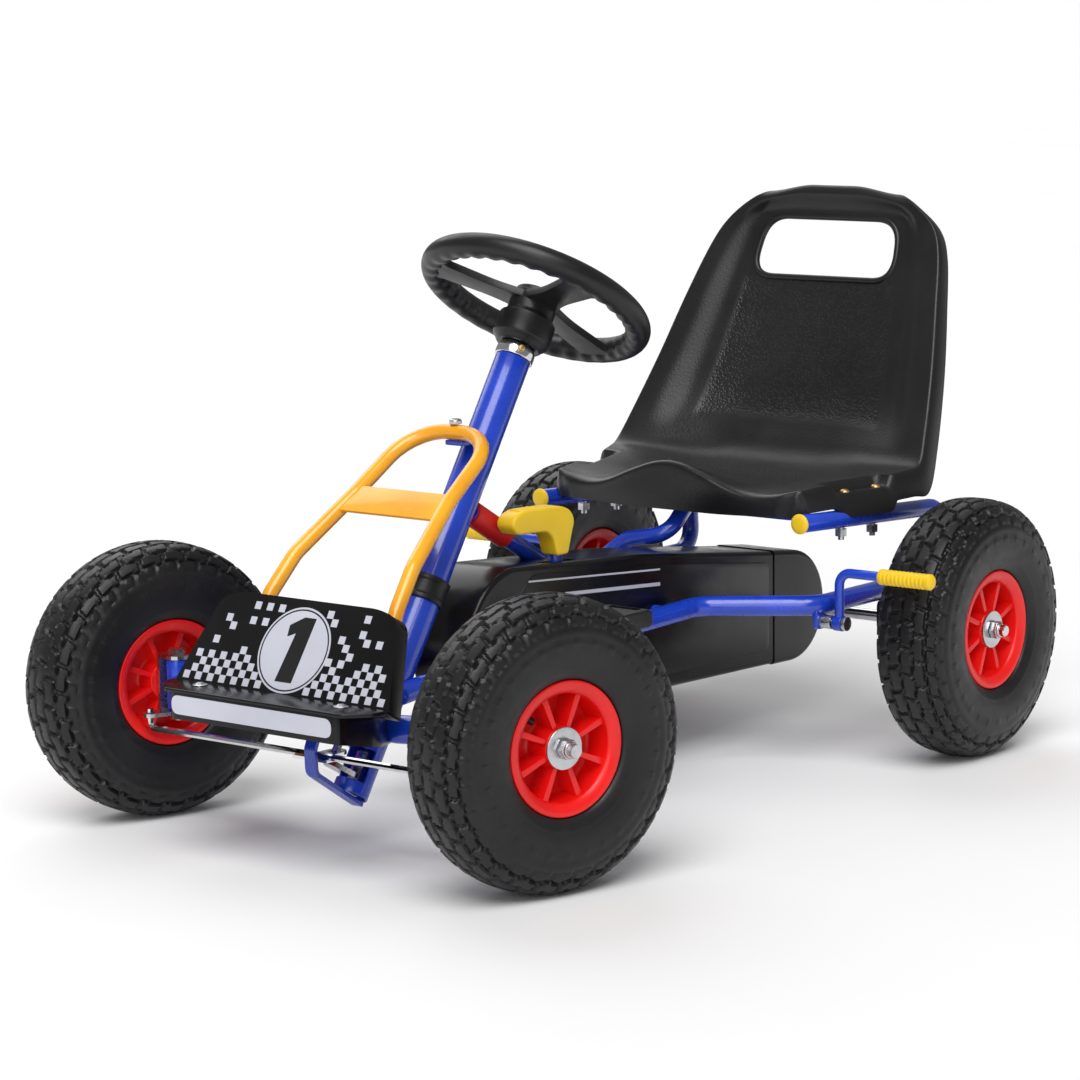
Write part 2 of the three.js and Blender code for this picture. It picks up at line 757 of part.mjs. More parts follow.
function fairingSolid() {
  const lower = new THREE.Vector3(63, 62, 296.5);
  const upper = new THREE.Vector3(57.5, 90, 316.5);
  const along = upper.clone().sub(lower).normalize();
  const normal = new THREE.Vector3(0, -along.z, along.y).normalize();
  const plate = new THREE.Shape([
    new THREE.Vector2(-lower.x, 0),
    new THREE.Vector2(lower.x, 0),
    new THREE.Vector2(upper.x, 30),
    new THREE.Vector2(-upper.x, 30),
  ]);
  const geometry = new THREE.ExtrudeGeometry(plate, { depth: 2.4, bevelEnabled: false });
  const basis = new THREE.Matrix4().makeBasis(
    new THREE.Vector3(1, 0, 0),
    normal.clone().cross(new THREE.Vector3(1, 0, 0)).normalize(),
    normal,
  );
  geometry.applyMatrix4(basis);
  geometry.translate(0, lower.y + normal.y * 2, lower.z + normal.z * 2);
  const bore = rodZ(340, 400, 3.6, 8, 0, fairingApex.y);
  return less(fairingTube(fairingRadius).add(toSolid(geometry)), bore);
}

function fairingBoltSolid() {
  const top = fairingApex.z + fairingRadius + gap;
  const bolt = rodZ(fairingApex.z - fairingRadius - 9, top + 1, 3, 8, 0, fairingApex.y);
  return joined(bolt, rodZ(top, top + 5, 6, 6, 0, fairingApex.y));
}

// Number shield: a leaning panel with turned-back edges, above a nose that is open below.
const panelTop = { half: 104, y: -40, z: 241 };
const panelFoot = { half: 131, y: -86, z: 158 };
const noseFront = -122;

function shieldSolid() {
  const lean = Math.atan2(panelTop.y - panelFoot.y, panelTop.z - panelFoot.z);
  const height = Math.hypot(panelTop.y - panelFoot.y, panelTop.z - panelFoot.z);
  const round = 16;
  const face = (inset, z0, z1) => {
    const foot = panelFoot.half - inset;
    const top = panelTop.half - inset;
    return plateZ([
      [-foot, inset],
      [foot, inset],
      [top + 3, height - round],
      [top - 4, height - 5],
      [top - round, height - inset],
      [round - top, height - inset],
      [4 - top, height - 5],
      [-top - 3, height - round],
    ], z0, z1);
  };
  const stand = (solid) => solid
    .rotate([90 - THREE.MathUtils.radToDeg(lean), 0, 0])
    .translate([0, panelFoot.y, panelFoot.z]);
  const tray = less(face(0, -20, 0), face(4, -24, -3.5));
  const panel = stand(tray);

  const ledge = plateZ([
    [-panelFoot.half, panelFoot.y + 2],
    [-panelFoot.half + 2, -98],
    [-108, noseFront],
    [108, noseFront],
    [panelFoot.half - 2, -98],
    [panelFoot.half, panelFoot.y + 2],
  ], panelFoot.z - 1, panelFoot.z + 3);

  const nosePlan = (inset) => [
    [-104 + inset, noseFront + inset],
    [104 - inset, noseFront + inset],
    [104 - inset, -64],
    [52 - inset, 10 - inset],
    [-52 + inset, 10 - inset],
    [-104 + inset, -64],
  ];
  const slant = plateX([[-160, 60], [40, 60], [40, 99], [-160, 141]], -150, 150);
  const nose = less(
    plateZ(nosePlan(0), 90, panelFoot.z),
    plateZ(nosePlan(3), 60, panelFoot.z - 3),
    slant,
  );
  const roofCut = block([-49, -60, 140], [49, 20, 170]);
  const open = less(nose, roofCut);
  return less(
    joined(panel, ledge, open),
    tube(beamCorners, beamRadius + 1, 60, 12),
    fairingTube(fairingRadius + 0.8),
    columnCut,
    block([-16, 0, 90], [16, 40, 150]),
  );
}

function addFairing() {
  addNode(kart, 'fairing_bar', toGeometry(fairingSolid()), AMBER);
  addNode(kart, 'fairing_bolt', toGeometry(fairingBoltSolid()), STEEL);
  addNode(kart, 'front_shield', toGeometry(shieldSolid()), BLACK);
}

// ---------------------------------------------------------------- drive
function toothedOutline(teeth, pitchRadius) {
  const points = [];
  const step = 2 * Math.PI / teeth;
  for (let i = 0; i < teeth; i += 1) {
    for (const [share, offset] of [[-0.5, -3.6], [0, 1]]) {
      const angle = (i + share) * step;
      points.push([(pitchRadius + offset) * Math.cos(angle), (pitchRadius + offset) * Math.sin(angle)]);
    }
  }
  return points;
}

// Closed loop round the chainring and the rear sprocket, at an offset from the pitch line.
function driveLoop(frontRadius, rearRadius) {
  const between = rearAxle.clone().sub(crankAxis);
  const distance = Math.hypot(between.y, between.z);
  const heading = Math.atan2(between.z, between.y);
  const spread = Math.acos((frontRadius - rearRadius) / distance);
  return [
    ...arc(crankY, crankZ, frontRadius, heading + spread, heading + 2 * Math.PI - spread, 12),
    ...arc(wheelbase, axleHeight, rearRadius, heading - spread, heading + spread, 7),
  ];
}

function chainSolid() {
  const loop = (offset) => driveLoop(chainringRadius + offset, sprocketRadius + offset);
  const band = less(
    plateX(loop(4.2), -chainHalfWidth, chainHalfWidth),
    plateX(loop(-3.2), -10, 10),
  );
  return less(band, plateX(loop(2.7), -1.8, 1.8));
}

function guardOutline(inset) {
  const front = guardFrontRadius - inset;
  const rear = guardRearRadius - inset;
  return [
    ...arc(crankY, crankZ, front, Math.PI * 0.53, Math.PI * 1.52, 12),
    ...arc(wheelbase, axleHeight, rear, Math.PI * 1.5, Math.PI * 2.46, 10),
    [wheelbase - 265, 224 - inset],
  ];
}

function guardHalfSolid(cuts) {
  const shell = less(
    plateX(guardOutline(0), 0.2, guardHalfWidth),
    plateX(guardOutline(guardWall), -5, guardHalfWidth - guardWall),
    block([-10, capStart, 0], [60, wheelbase + 200, 300]),
    rodX(0, 60, crankShaftRadius + 2, 12, crankY, crankZ),
  );
  return less(shell, ...cuts);
}

function guardCapSolid() {
  const capHalf = guardHalfWidth + capOverlap;
  const shell = less(
    plateX(guardOutline(-capOverlap), -capHalf, capHalf),
    plateX(guardOutline(guardWall - capOverlap), guardWall - capHalf, capHalf - guardWall),
    block([-60, 0, 0], [60, capStart + gap, 300]),
  );
  return less(shell, rodX(-60, 60, axleRadius + 2, 12, wheelbase, axleHeight));
}

const leverY = crankY + 82;
const leverZ = 152;
const leverX = 22;

function shiftLeverSolid() {
  const outline = [
    ...arc(leverY, leverZ, 9, Math.PI * 1.02, Math.PI * 1.98, 5),
    [leverY + 6, 205],
    [leverY + 1, 262],
    [leverY - 12, 262],
    [leverY - 8, 205],
  ];
  const bar = plateX(outline, leverX - 2.5, leverX + 2.5);
  return bar.add(rodX(leverX - 9, guardHalfWidth + 6, 4, 10, leverY, leverZ));
}

function shiftGripSolid() {
  const outline = [
    [leverY + 3, 240],
    [leverY + 10, 262],
    [leverY + 14, 272],
    [leverY + 8, 283],
    [leverY - 8, 289],
    [leverY - 66, 291],
    [leverY - 80, 286],
    [leverY - 84, 277],
    [leverY - 76, 268],
    [leverY - 30, 266],
    [leverY - 20, 258],
    [leverY - 14, 240],
  ];
  const grip = plateX(outline, leverX - 11, leverX + 11);
  const socket = plateX([
    [leverY - 14, 230],
    [leverY + 4, 230],
    [leverY + 2, 264],
    [leverY - 13.5, 264],
  ], leverX - 2.5 - gap, leverX + 2.5 + gap);
  return less(grip, socket);
}

function crankArmSolid(side) {
  const tipY = crankLength * Math.cos(crankAngle) * side;
  const tipZ = crankLength * Math.sin(crankAngle) * side;
  const sideways = new THREE.Vector2(-Math.sin(crankAngle), Math.cos(crankAngle));
  const outline = [
    [crankY + sideways.x * 9, crankZ + sideways.y * 9],
    [crankY + tipY + sideways.x * 7, crankZ + tipZ + sideways.y * 7],
    [crankY + tipY - sideways.x * 7, crankZ + tipZ - sideways.y * 7],
    [crankY - sideways.x * 9, crankZ - sideways.y * 9],
  ];
  const bar = plateX(side > 0 ? outline : outline.reverse(), armInner, armOuter);
  const boss = rodX(armInner - 1, armOuter + 1, 12, 12, crankY, crankZ);
  const end = rodX(armInner, armOuter, 9, 10, crankY + tipY, crankZ + tipZ);
  const pin = rodX(armInner + 2, pedalOuter - 4, 4.5, 10, crankY + tipY, crankZ + tipZ);
  const bore = rodX(armInner - 10, armOuter + 10, crankShaftRadius + gap, 12, crankY, crankZ);
  const solid = less(joined(bar, boss, end, pin), bore);
  return side > 0 ? solid : solid.mirror([1, 0, 0]);
}

function pedalSolid(side) {
  const y = crankY + crankLength * Math.cos(crankAngle) * side;
  const z = crankZ + crankLength * Math.sin(crankAngle) * side;
  const body = plateX([
    [y - 28, z - 6],
    [y - 24, z - 9],
    [y + 24, z - 9],
    [y + 28, z - 6],
    [y + 28, z + 6],
    [y + 24, z + 9],
    [y - 24, z + 9],
    [y - 28, z + 6],
  ], pedalInner, pedalOuter);
  const wells = [-1, 1].map((way) => block(
    [pedalInner + 6, y + way * 16 - 5, z - 12],
    [pedalOuter - 6, y + way * 16 + 5, z + 12],
  ));
  const solid = less(body, ...wells, rodX(armOuter, pedalOuter - 3.2, 4.5 + runningGap, 10, y, z));
  return side > 0 ? solid : solid.mirror([1, 0, 0]);
}

function addDrive() {
  const ringPlate = plateX(toothedOutline(chainringTeeth, chainringRadius), -1.4, 1.4);
  const ringHub = rodX(-6, 6, 14, 12);
  const crankShaft = rodX(-armOuter - 1, armOuter + 1, crankShaftRadius, 12);
  const windows = [0, 1, 2, 3, 4].map((i) => plateX([
    ...arc(0, 0, 24, -0.42, 0.42, 2),
    ...arc(0, 0, 50, 0.42, -0.42, 3),
  ].reverse(), -5, 5).rotate([i * 72, 0, 0]));
  const chainring = joined(less(ringPlate, ...windows), ringHub, crankShaft);
  addNode(kart, 'chainring_axle', toGeometry(chainring.translate(crankAxis.toArray())), STEEL);
  addNode(kart, 'crank_left', toGeometry(crankArmSolid(1)), STEEL);
  addNode(kart, 'crank_right', toGeometry(crankArmSolid(-1)), STEEL);
  addNode(kart, 'pedal_left', toGeometry(pedalSolid(1)), BLACK);
  addNode(kart, 'pedal_right', toGeometry(pedalSolid(-1)), BLACK);
  addNode(kart, 'chain', toGeometry(chainSolid()), STEEL);

  const sprocketPlate = plateX(toothedOutline(sprocketTeeth, sprocketRadius), -1.4, 1.4);
  const freewheel = rodX(-12, 12, 19, 12);
  const bore = rodX(-30, 30, axleRadius + gap, 12);
  const sprocket = less(sprocketPlate.add(freewheel), bore);
  addNode(kart, 'sprocket', toGeometry(sprocket.translate(rearAxle.toArray())), STEEL);
  const reach = axleHalfSpan + 46;
  const axle = rodX(-reach, reach, axleRadius, 12).translate(rearAxle.toArray());
  addNode(kart, 'rear_axle', toGeometry(axle), STEEL);
  addWheel(kart, 'rear_left', 1, new THREE.Vector3(axleHalfSpan, wheelbase, axleHeight));
  addWheel(kart, 'rear_right', -1, new THREE.Vector3(-axleHalfSpan, wheelbase, axleHeight));

  const passage = strut(braceTop.toArray(), braceFoot.toArray(), braceRadius + 1.2);
  const bridge = rodX(-sideInner, sideInner, 9.2, 10, bridgeY, bridgeZ);
  const leverSlot = block([leverX - 4.5, leverY - 30, 200], [leverX + 4.5, leverY + 24, 260]);
  const leverBolt = rodX(0, 60, 5, 10, leverY, leverZ);
  addNode(kart, 'guard_left', toGeometry(guardHalfSolid([passage, bridge, leverSlot, leverBolt])), BLACK);
  const rightHalf = guardHalfSolid([]).mirror([1, 0, 0]);
  addNode(kart, 'guard_right', toGeometry(less(rightHalf, passage, bridge)), BLACK);
  addNode(kart, 'guard_rear_cap', toGeometry(guardCapSolid()), BLACK);

  addNode(kart, 'shift_lever', toGeometry(shiftLeverSolid()), BLUE);
  addNode(kart, 'shift_grip', toGeometry(shiftGripSolid()), YELLOW);
}

// ---------------------------------------------------------------- hand brakes
function brakeLeverSolid() {
  const rod = tube([
    [187, brakeY, brakeZ],
    [187, brakeY, brakeZ + 52],
    [294, brakeY, brakeZ + 52],
  ], brakeRodRadius, 13, 8, 3);
  const eye = rodX(182, 192, 8, 10, brakeY, brakeZ);
  return less(rod.add(eye), rodX(150, 220, brakePivotRadius + gap, 10, brakeY, brakeZ));
}

function brakeGripSolid() {
  const z = brakeZ + 52;
  const grip = rodX(236, 298, 8, 12, brakeY, z);
  return less(grip, rodX(200, 294.6, brakeRodRadius + runningGap, 12, brakeY, z));
}

function addBrakes() {
  for (const [name, turn] of [['left', (s) => s], ['right', (s) => s.mirror([1, 0, 0])]]) {
    addNode(kart, `brake_lever_${name}`, toGeometry(turn(brakeLeverSolid())), BLUE);
    addNode(kart, `brake_grip_${name}`, toGeometry(turn(brakeGripSolid())), YELLOW);
  }
}

// ---------------------------------------------------------------- seat
// Rows run from the front skirt over the pan and up the back. Each gives the middle of the
// row, its half width, its outer edge, the depth of the thigh channels, and how the rim turns.
// Places along the kart are measured from the rear axle.
const seatRows = [
  { mid: [-166, 248], half: 148, edge: [-170, 251], channel: 0, rim: [0, -1, -1] },
  { mid: [-176, 303], half: 155, edge: [-166, 284], channel: 20, rim: [2, 4, -22] },
  { mid: [-149, 299], half: 160, edge: [-148, 287], channel: 14, rim: [3, 0, -24] },
  { mid: [-105, 280], half: 169, edge: [-105, 288], channel: 3, rim: [3, 0, -25] },
  { mid: [-57, 274], half: 183, edge: [-59, 289], channel: 0, rim: [3, 0, -26] },
  { mid: [-13, 278], half: 195, edge: [-21, 292], channel: 0, rim: [3, 4, -27] },
  { mid: [21, 293], half: 200, edge: [-1, 298], channel: 0, rim: [2, 10, -30] },
  { mid: [43, 326], half: 195, edge: [17, 324], channel: 0, rim: [-2, 22, -14] },
  { mid: [66, 385], half: 181, edge: [52, 386], channel: 0, rim: [-2, 22, -8] },
  { mid: [92, 452], half: 166, edge: [83, 450], channel: 0, rim: [-2, 20, -6] },
  { mid: [111, 506], half: 149, edge: [111, 505], channel: 0, rim: [-3, 18, -6] },
  { mid: [122, 540], half: 128, edge: [124, 534], channel: 0, rim: [-4, 17, -6] },
  { mid: [127, 566], half: 100, edge: [127, 556], channel: 0, rim: [-4, 12, -3] },
  { mid: [135, 574], half: 93, edge: [137, 565], channel: 0, rim: [-2, 4, -1] },
  { mid: [144, 567], half: 91, edge: [144, 561], channel: 0, rim: [-1, 2, -1] },
];
const seatShares = [0, 0.25, 0.5, 0.72, 0.88, 1];

function seatRow(row) {
  const points = [];
  const side = seatShares.map((share) => {
    const lift = THREE.MathUtils.smoothstep(share, 0.3, 1);
    const dip = Math.sin(Math.PI * Math.min(share / 1.1, 1)) ** 2 * row.channel;
    return [
      row.half * share,
      wheelbase + THREE.MathUtils.lerp(row.mid[0], row.edge[0], lift),
      THREE.MathUtils.lerp(row.mid[1], row.edge[1], lift) - dip,
    ];
  });
  const outer = side[side.length - 1];
  side.push([outer[0] + row.rim[0], outer[1] + row.rim[1], outer[2] + row.rim[2]]);
  for (const [x, y, z] of side.slice(1).reverse()) points.push(new THREE.Vector3(-x, y, z));
  for (const [x, y, z] of side) points.push(new THREE.Vector3(x, y, z));
  return points;
}

// A sheet of points becomes a closed shell of even thickness below or behind it.
function shellOf(grid, wall) {
  const rows = grid.length;
  const columns = grid[0].length;
  const under = grid.map((row, i) => row.map((point, j) => {
    const ahead = grid[Math.min(i + 1, rows - 1)][j];
    const behind = grid[Math.max(i - 1, 0)][j];
    const left = row[Math.min(j + 1, columns - 1)];
    const right = row[Math.max(j - 1, 0)];
    const normal = left.clone().sub(right).cross(ahead.clone().sub(behind)).normalize();
    return point.clone().addScaledVector(normal, -wall);
  }));
  const vertices = [...grid.flat(), ...under.flat()];
  const top = (i, j) => i * columns + j;
  const bottom = (i, j) => rows * columns + i * columns + j;
  const index = [];
  const quad = (a, b, c, d) => index.push(a, b, c, a, c, d);
  for (let i = 0; i < rows - 1; i += 1) {
    for (let j = 0; j < columns - 1; j += 1) {
      quad(top(i, j), top(i, j + 1), top(i + 1, j + 1), top(i + 1, j));
      quad(bottom(i, j), bottom(i + 1, j), bottom(i + 1, j + 1), bottom(i, j + 1));
    }
    quad(top(i, 0), top(i + 1, 0), bottom(i + 1, 0), bottom(i, 0));
    const end = columns - 1;
    quad(top(i, end), bottom(i, end), bottom(i + 1, end), top(i + 1, end));
  }
  for (let j = 0; j < columns - 1; j += 1) {
    const end = rows - 1;
    quad(top(0, j), bottom(0, j), bottom(0, j + 1), top(0, j + 1));
    quad(top(end, j), top(end, j + 1), bottom(end, j + 1), bottom(end, j));
  }
  const geometry = new THREE.BufferGeometry();
  const position = new Float32Array(vertices.flatMap((point) => point.toArray()));
  geometry.setAttribute('position', new THREE.BufferAttribute(position, 3));
  geometry.setIndex(index);
  return geometry;
}

function seatSolid() {
  const shell = toSolid(shellOf(seatRows.map(seatRow), seatWall));
  const slotHalf = 90;
  const slot = plateX([
    [wheelbase + 55, 472],
    [wheelbase + 195, 478],
    [wheelbase + 195, 540],
    [wheelbase + 55, 534],
  ], -slotHalf, slotHalf);
  let seat = less(shell, slot);
  for (const y of Object.values(boltYs)) {
    for (const side of [-1, 1]) {
      const low = railHeight(y) + railRadius + gap + 0.6;
      const boss = less(
        rodZ(low, 284, 9.5, 10, side * railHalfSpan, y),
        rodZ(low - 5, low + 16, 3.9, 8, side * railHalfSpan, y),
      );
      seat = less(seat, rodZ(low - 5, low + 16, 3.9, 8, side * railHalfSpan, y)).add(boss);
    }
  }
  const clear = tube([
    [railHalfSpan, railFront - 12, railHeight(railFront - 12)],
    [railHalfSpan, railBack, railHeight(railBack)],
  ], railRadius + 0.9, 20, 10);
  return less(seat, clear, clear.mirror([1, 0, 0]));
}

// ---------------------------------------------------------------- assembly
addSteering();
addFrontEnd();
addFrame();
addFairing();
addDrive();
addBrakes();
addNode(kart, 'seat', toGeometry(seatSolid()), BLACK);

// The origin is on the ground at the middle of the kart's length and width.
kart.position.z = tyreRadius - axleHeight;
kart.updateMatrixWorld(true);
const extent = new THREE.Box3().setFromObject(kart, true);
kart.position.y = -(extent.min.y + extent.max.y) / 2;

const model = new THREE.Group();
model.add(kart);
model.updateMatrixWorld(true);

export default model;
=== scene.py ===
"""Pedal go-kart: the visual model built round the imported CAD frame.

Shapes are made in millimetres, in a frame whose origin is on the ground under the front axle,
and placed in the part's frame (metres) by `TO_ROW`, which is worked out from the CAD's rear axle.
"""
import math
import random

import bmesh
import bpy
from mathutils import Matrix, Vector


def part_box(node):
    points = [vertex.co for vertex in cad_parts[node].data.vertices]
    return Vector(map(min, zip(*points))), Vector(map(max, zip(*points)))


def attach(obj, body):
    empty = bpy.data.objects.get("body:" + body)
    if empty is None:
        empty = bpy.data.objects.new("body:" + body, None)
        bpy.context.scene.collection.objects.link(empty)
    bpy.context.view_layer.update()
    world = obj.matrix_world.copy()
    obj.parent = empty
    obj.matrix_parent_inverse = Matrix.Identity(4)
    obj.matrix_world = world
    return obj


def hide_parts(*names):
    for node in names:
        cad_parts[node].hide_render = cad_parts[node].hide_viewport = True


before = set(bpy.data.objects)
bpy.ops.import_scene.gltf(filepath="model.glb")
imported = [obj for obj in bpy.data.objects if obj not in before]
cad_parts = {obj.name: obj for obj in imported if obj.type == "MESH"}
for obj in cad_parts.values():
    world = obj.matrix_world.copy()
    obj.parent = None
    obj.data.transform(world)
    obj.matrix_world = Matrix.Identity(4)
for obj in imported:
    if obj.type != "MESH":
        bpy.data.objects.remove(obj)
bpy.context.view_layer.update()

# ------------------------------------------------------------------ the CAD's driving sizes, mm
WHEELBASE = 685
KINGPIN_X = 208
KINGPIN_TO_WHEEL = 40
REAR_WHEEL_X = 255
AXLE_Z = 133
REST_STEER = math.radians(-14.5)
COLUMN_TILT = math.radians(33.2)
COLUMN_FOOT = Vector((0, 62.4, 130.5))
COLUMN_R = 17.5
COLUMN_BOTTOM = -97
COLUMN_TOP = 361
WHEEL_STATION = 428
RING_R = 105
RING_GRIP_R = 12.5
CRANK = Vector((0, 218, 163))
CRANK_LENGTH = 72
CRANK_ANGLE = math.radians(17)
RAIL_X = 165
BRAKE_Y = 548
BRAKE_Z = 150
GUARD_HALF = 37
GUARD_SPLIT = 649
BRACE_STATION = 205
BRACE_FOOT = Vector((-24, 437, 162.5))
SHIFT_Y_Z = (300, 152)

rear_low, rear_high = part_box("rear_axle")
ROW_Y = (rear_low[1] + rear_high[1]) / 2 - WHEELBASE / 1000
TO_ROW = Matrix.Translation((0, ROW_Y, 0)) @ Matrix.Scale(0.001, 4)
COLUMN = Matrix.Translation(COLUMN_FOOT) @ Matrix.Rotation(-COLUMN_TILT, 4, "X")
TURNED_COLUMN = COLUMN @ Matrix.Rotation(REST_STEER, 4, "Z")
BRACE_TOP = COLUMN @ Vector((0, 0, BRACE_STATION))

SAME = Matrix.Identity(4)
MIRROR_X = Matrix.Scale(-1, 4, (1, 0, 0))
HANDS = (("left", 1, SAME), ("right", -1, MIRROR_X))


def at(x, y, z):
    return Matrix.Translation((x, y, z))


def spin(degrees, axis):
    return Matrix.Rotation(math.radians(degrees), 4, axis)


ABOUT_Z = spin(-90, "Y")
# Plates drawn in Y and Z, with their thickness along X.
SIDE_ON = Matrix(((0, 0, 1, 0), (1, 0, 0, 0), (0, 1, 0, 0), (0, 0, 0, 1)))


# ------------------------------------------------------------------ material nodes
MATERIALS = {}


class Nodes:
    """A new material's node tree, with short calls for the nodes used here."""

    def __init__(self, name, colour, roughness, metallic=0.0, coat=0.0, specular=0.5):
        self.material = MATERIALS[name] = bpy.data.materials.new(name)
        self.material.use_nodes = True
        self.tree = self.material.node_tree
        self.bsdf = self.tree.nodes["Principled BSDF"]
        self.feed(self.bsdf, {"Base Color": (*colour, 1), "Roughness": roughness, "Metallic": metallic,
                              "Coat Weight": coat, "Coat Roughness": 0.06, "Specular IOR Level": specular})
        self.coords = self.tree.nodes.new("ShaderNodeTexCoord").outputs["Object"]

    def feed(self, node, inputs):
        """Sets a node's inputs: another node's output is linked, anything else is the socket's value."""
        for key, value in inputs.items():
            if isinstance(value, bpy.types.NodeSocket):
                self.tree.links.new(value, node.inputs[key])
            else:
                node.inputs[key].default_value = value

    def add(self, kind, output, inputs):
        node = self.tree.nodes.new("ShaderNode" + kind)
        self.feed(node, inputs)
        return node.outputs[output]

    def noise(self, scale, detail=3.0, roughness=0.5):
        return self.add("TexNoise", "Fac", {"Vector": self.coords, "Scale": scale, "Detail": detail,
                                            "Roughness": roughness})

    def cells(self, scale):
        return self.add("TexVoronoi", "Distance", {"Vector": self.coords, "Scale": scale})

    def ramp(self, value, stops):
        node = self.tree.nodes.new("ShaderNodeValToRGB")
        for element, (place, colour) in zip(node.color_ramp.elements, stops):
            element.position = place
            element.color = (*colour, 1)
        self.feed(node, {"Fac": value})
        return node.outputs["Color"]

    def spread(self, value, low, high, out_low, out_high):
        return self.add("MapRange", "Result", {"Value": value, "From Min": low, "From Max": high,
                                               "To Min": out_low, "To Max": out_high})

    def maths(self, operation, a, b):
        node = self.tree.nodes.new("ShaderNodeMath")
        node.operation = operation
        self.feed(node, {0: a, 1: b})
        return node.outputs["Value"]

    def attribute(self, name):
        node = self.tree.nodes.new("ShaderNodeAttribute")
        node.attribute_name = name
        return node.outputs["Fac"]

    def bump(self, height, strength, distance):
        normal = self.add("Bump", "Normal", {"Height": height, "Strength": strength, "Distance": distance})
        self.feed(self.bsdf, {"Normal": normal})

    def shades(self, scale, dark, light, detail=4.0):
        """Base colour that drifts between two close shades."""
        self.feed(self.bsdf, {"Base Color": self.ramp(self.noise(scale, detail), [(0.35, dark), (0.65, light)])})

    def uneven_gloss(self, scale, low, high):
        self.feed(self.bsdf, {"Roughness": self.spread(self.noise(scale, 5.0, 0.6), 0.3, 0.7, low, high)})


def paint(name, dark, light):
    """Powder coat: deep colour, faint orange peel, a clear gloss."""
    n = Nodes(name, light, 0.25, coat=0.5)
    n.shades(14, dark, light)
    n.uneven_gloss(35, 0.18, 0.32)
    n.bump(n.noise(900, 2.0), 0.06, 0.0004)


def moulded(name, dark, light, low, high, grain=500, strength=0.12, specular=0.5):
    """Moulded plastic with a fine grain."""
    n = Nodes(name, light, 0.4, specular=specular)
    n.shades(9, dark, light)
    n.uneven_gloss(28, low, high)
    n.bump(n.noise(grain, 4.0, 0.65), strength, 0.0005)


def grained_seat():
    """Blow-moulded seat: satin skin, with a leather grain where the mesh's `grain` value asks."""
    n = Nodes("seat_plastic", (0.009, 0.009, 0.01), 0.4, specular=0.42)
    n.shades(7, (0.007, 0.007, 0.008), (0.012, 0.012, 0.013))
    n.uneven_gloss(22, 0.30, 0.42)
    pebbles = n.spread(n.cells(330), 0.0, 0.6, 0.0, 1.0)
    fine = n.noise(1100, 3.0)
    height = n.maths("ADD", pebbles, n.maths("MULTIPLY", fine, 0.3))
    strength = n.spread(n.attribute("grain"), 0.0, 1.0, 0.04, 0.6)
    n.bump(height, strength, 0.0008)


def rubber():
    n = Nodes("tyre_rubber", (0.008, 0.008, 0.009), 0.45, specular=0.4)
    n.shades(18, (0.005, 0.005, 0.006), (0.010, 0.010, 0.011), 6.0)
    n.uneven_gloss(60, 0.34, 0.5)
    n.bump(n.noise(420, 6.0, 0.7), 0.25, 0.0006)


def zinc(name="zinc_steel", tint=(0.62, 0.63, 0.65), low=0.2, high=0.38):
    n = Nodes(name, tint, 0.3, metallic=1.0)
    n.shades(55, tuple(0.82 * c for c in tint), tint, 5.0)
    n.uneven_gloss(120, low, high)
    n.bump(n.noise(700, 3.0), 0.08, 0.0003)


paint("blue_paint", (0.008, 0.042, 0.44), (0.013, 0.062, 0.60))
paint("amber_paint", (0.88, 0.36, 0.008), (0.98, 0.45, 0.015))
moulded("red_plastic", (0.70, 0.004, 0.004), (0.86, 0.008, 0.006), 0.28, 0.42)
moulded("red_foam", (0.66, 0.008, 0.01), (0.80, 0.014, 0.014), 0.45, 0.6, 900, 0.3)
moulded("yellow_plastic", (0.86, 0.56, 0.012), (0.97, 0.66, 0.02), 0.38, 0.52)
moulded("black_gloss_plastic", (0.004, 0.004, 0.0045), (0.008, 0.008, 0.009), 0.16, 0.28, 260, 0.05, 0.3)
moulded("black_plastic", (0.007, 0.007, 0.008), (0.013, 0.013, 0.014), 0.3, 0.46, specular=0.4)
moulded("decal_pale", (0.50, 0.51, 0.58), (0.57, 0.58, 0.66), 0.3, 0.4, 700, 0.05)
moulded("decal_black", (0.008, 0.008, 0.009), (0.014, 0.014, 0.015), 0.25, 0.35, 700, 0.05)
grained_seat()
rubber()
zinc()
zinc("chrome", (0.8, 0.8, 0.82), 0.06, 0.16)
zinc("brass", (0.75, 0.5, 0.2), 0.25, 0.4)


# ------------------------------------------------------------------ mesh code
def linked(name, data):
    """A new object in the scene."""
    new = bpy.data.objects.new(name, data)
    bpy.context.scene.collection.objects.link(new)
    return new


def add_piece(name, mesh, body, material, stands_for=(), place=SAME, crease=35):
    """Puts a mesh made in millimetres into the part's frame, as a piece that rides on a body."""
    mesh.transform(TO_ROW @ place)
    if (TO_ROW @ place).determinant() < 0:
        mesh.flip_normals()
    mesh.name = name
    for polygon in mesh.polygons:
        polygon.use_smooth = True
    mesh.set_sharp_from_angle(angle=math.radians(crease))
    mesh.materials.clear()
    mesh.materials.append(MATERIALS[material])
    piece = linked(name, mesh)
    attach(piece, body)
    if stands_for:
        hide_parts(*stands_for)


def as_mesh(bm):
    """A mesh made from a bmesh, which is used up."""
    mesh = bpy.data.meshes.new("mesh")
    bm.to_mesh(mesh)
    bm.free()
    return mesh


def settled(target, *tools):
    """The mesh that an object's modifiers give. The object and its tools are removed."""
    graph = bpy.context.evaluated_depsgraph_get()
    mesh = bpy.data.meshes.new_from_object(target.evaluated_get(graph))
    for extra in (target, *tools):
        bpy.data.objects.remove(extra)
    return mesh


def thickened(mesh, thickness):
    """An object with the mesh's surface, given a wall on its inner side."""
    holder = linked("holder", mesh)
    wall = holder.modifiers.new("wall", "SOLIDIFY")
    wall.thickness = thickness
    wall.offset = -1
    return holder


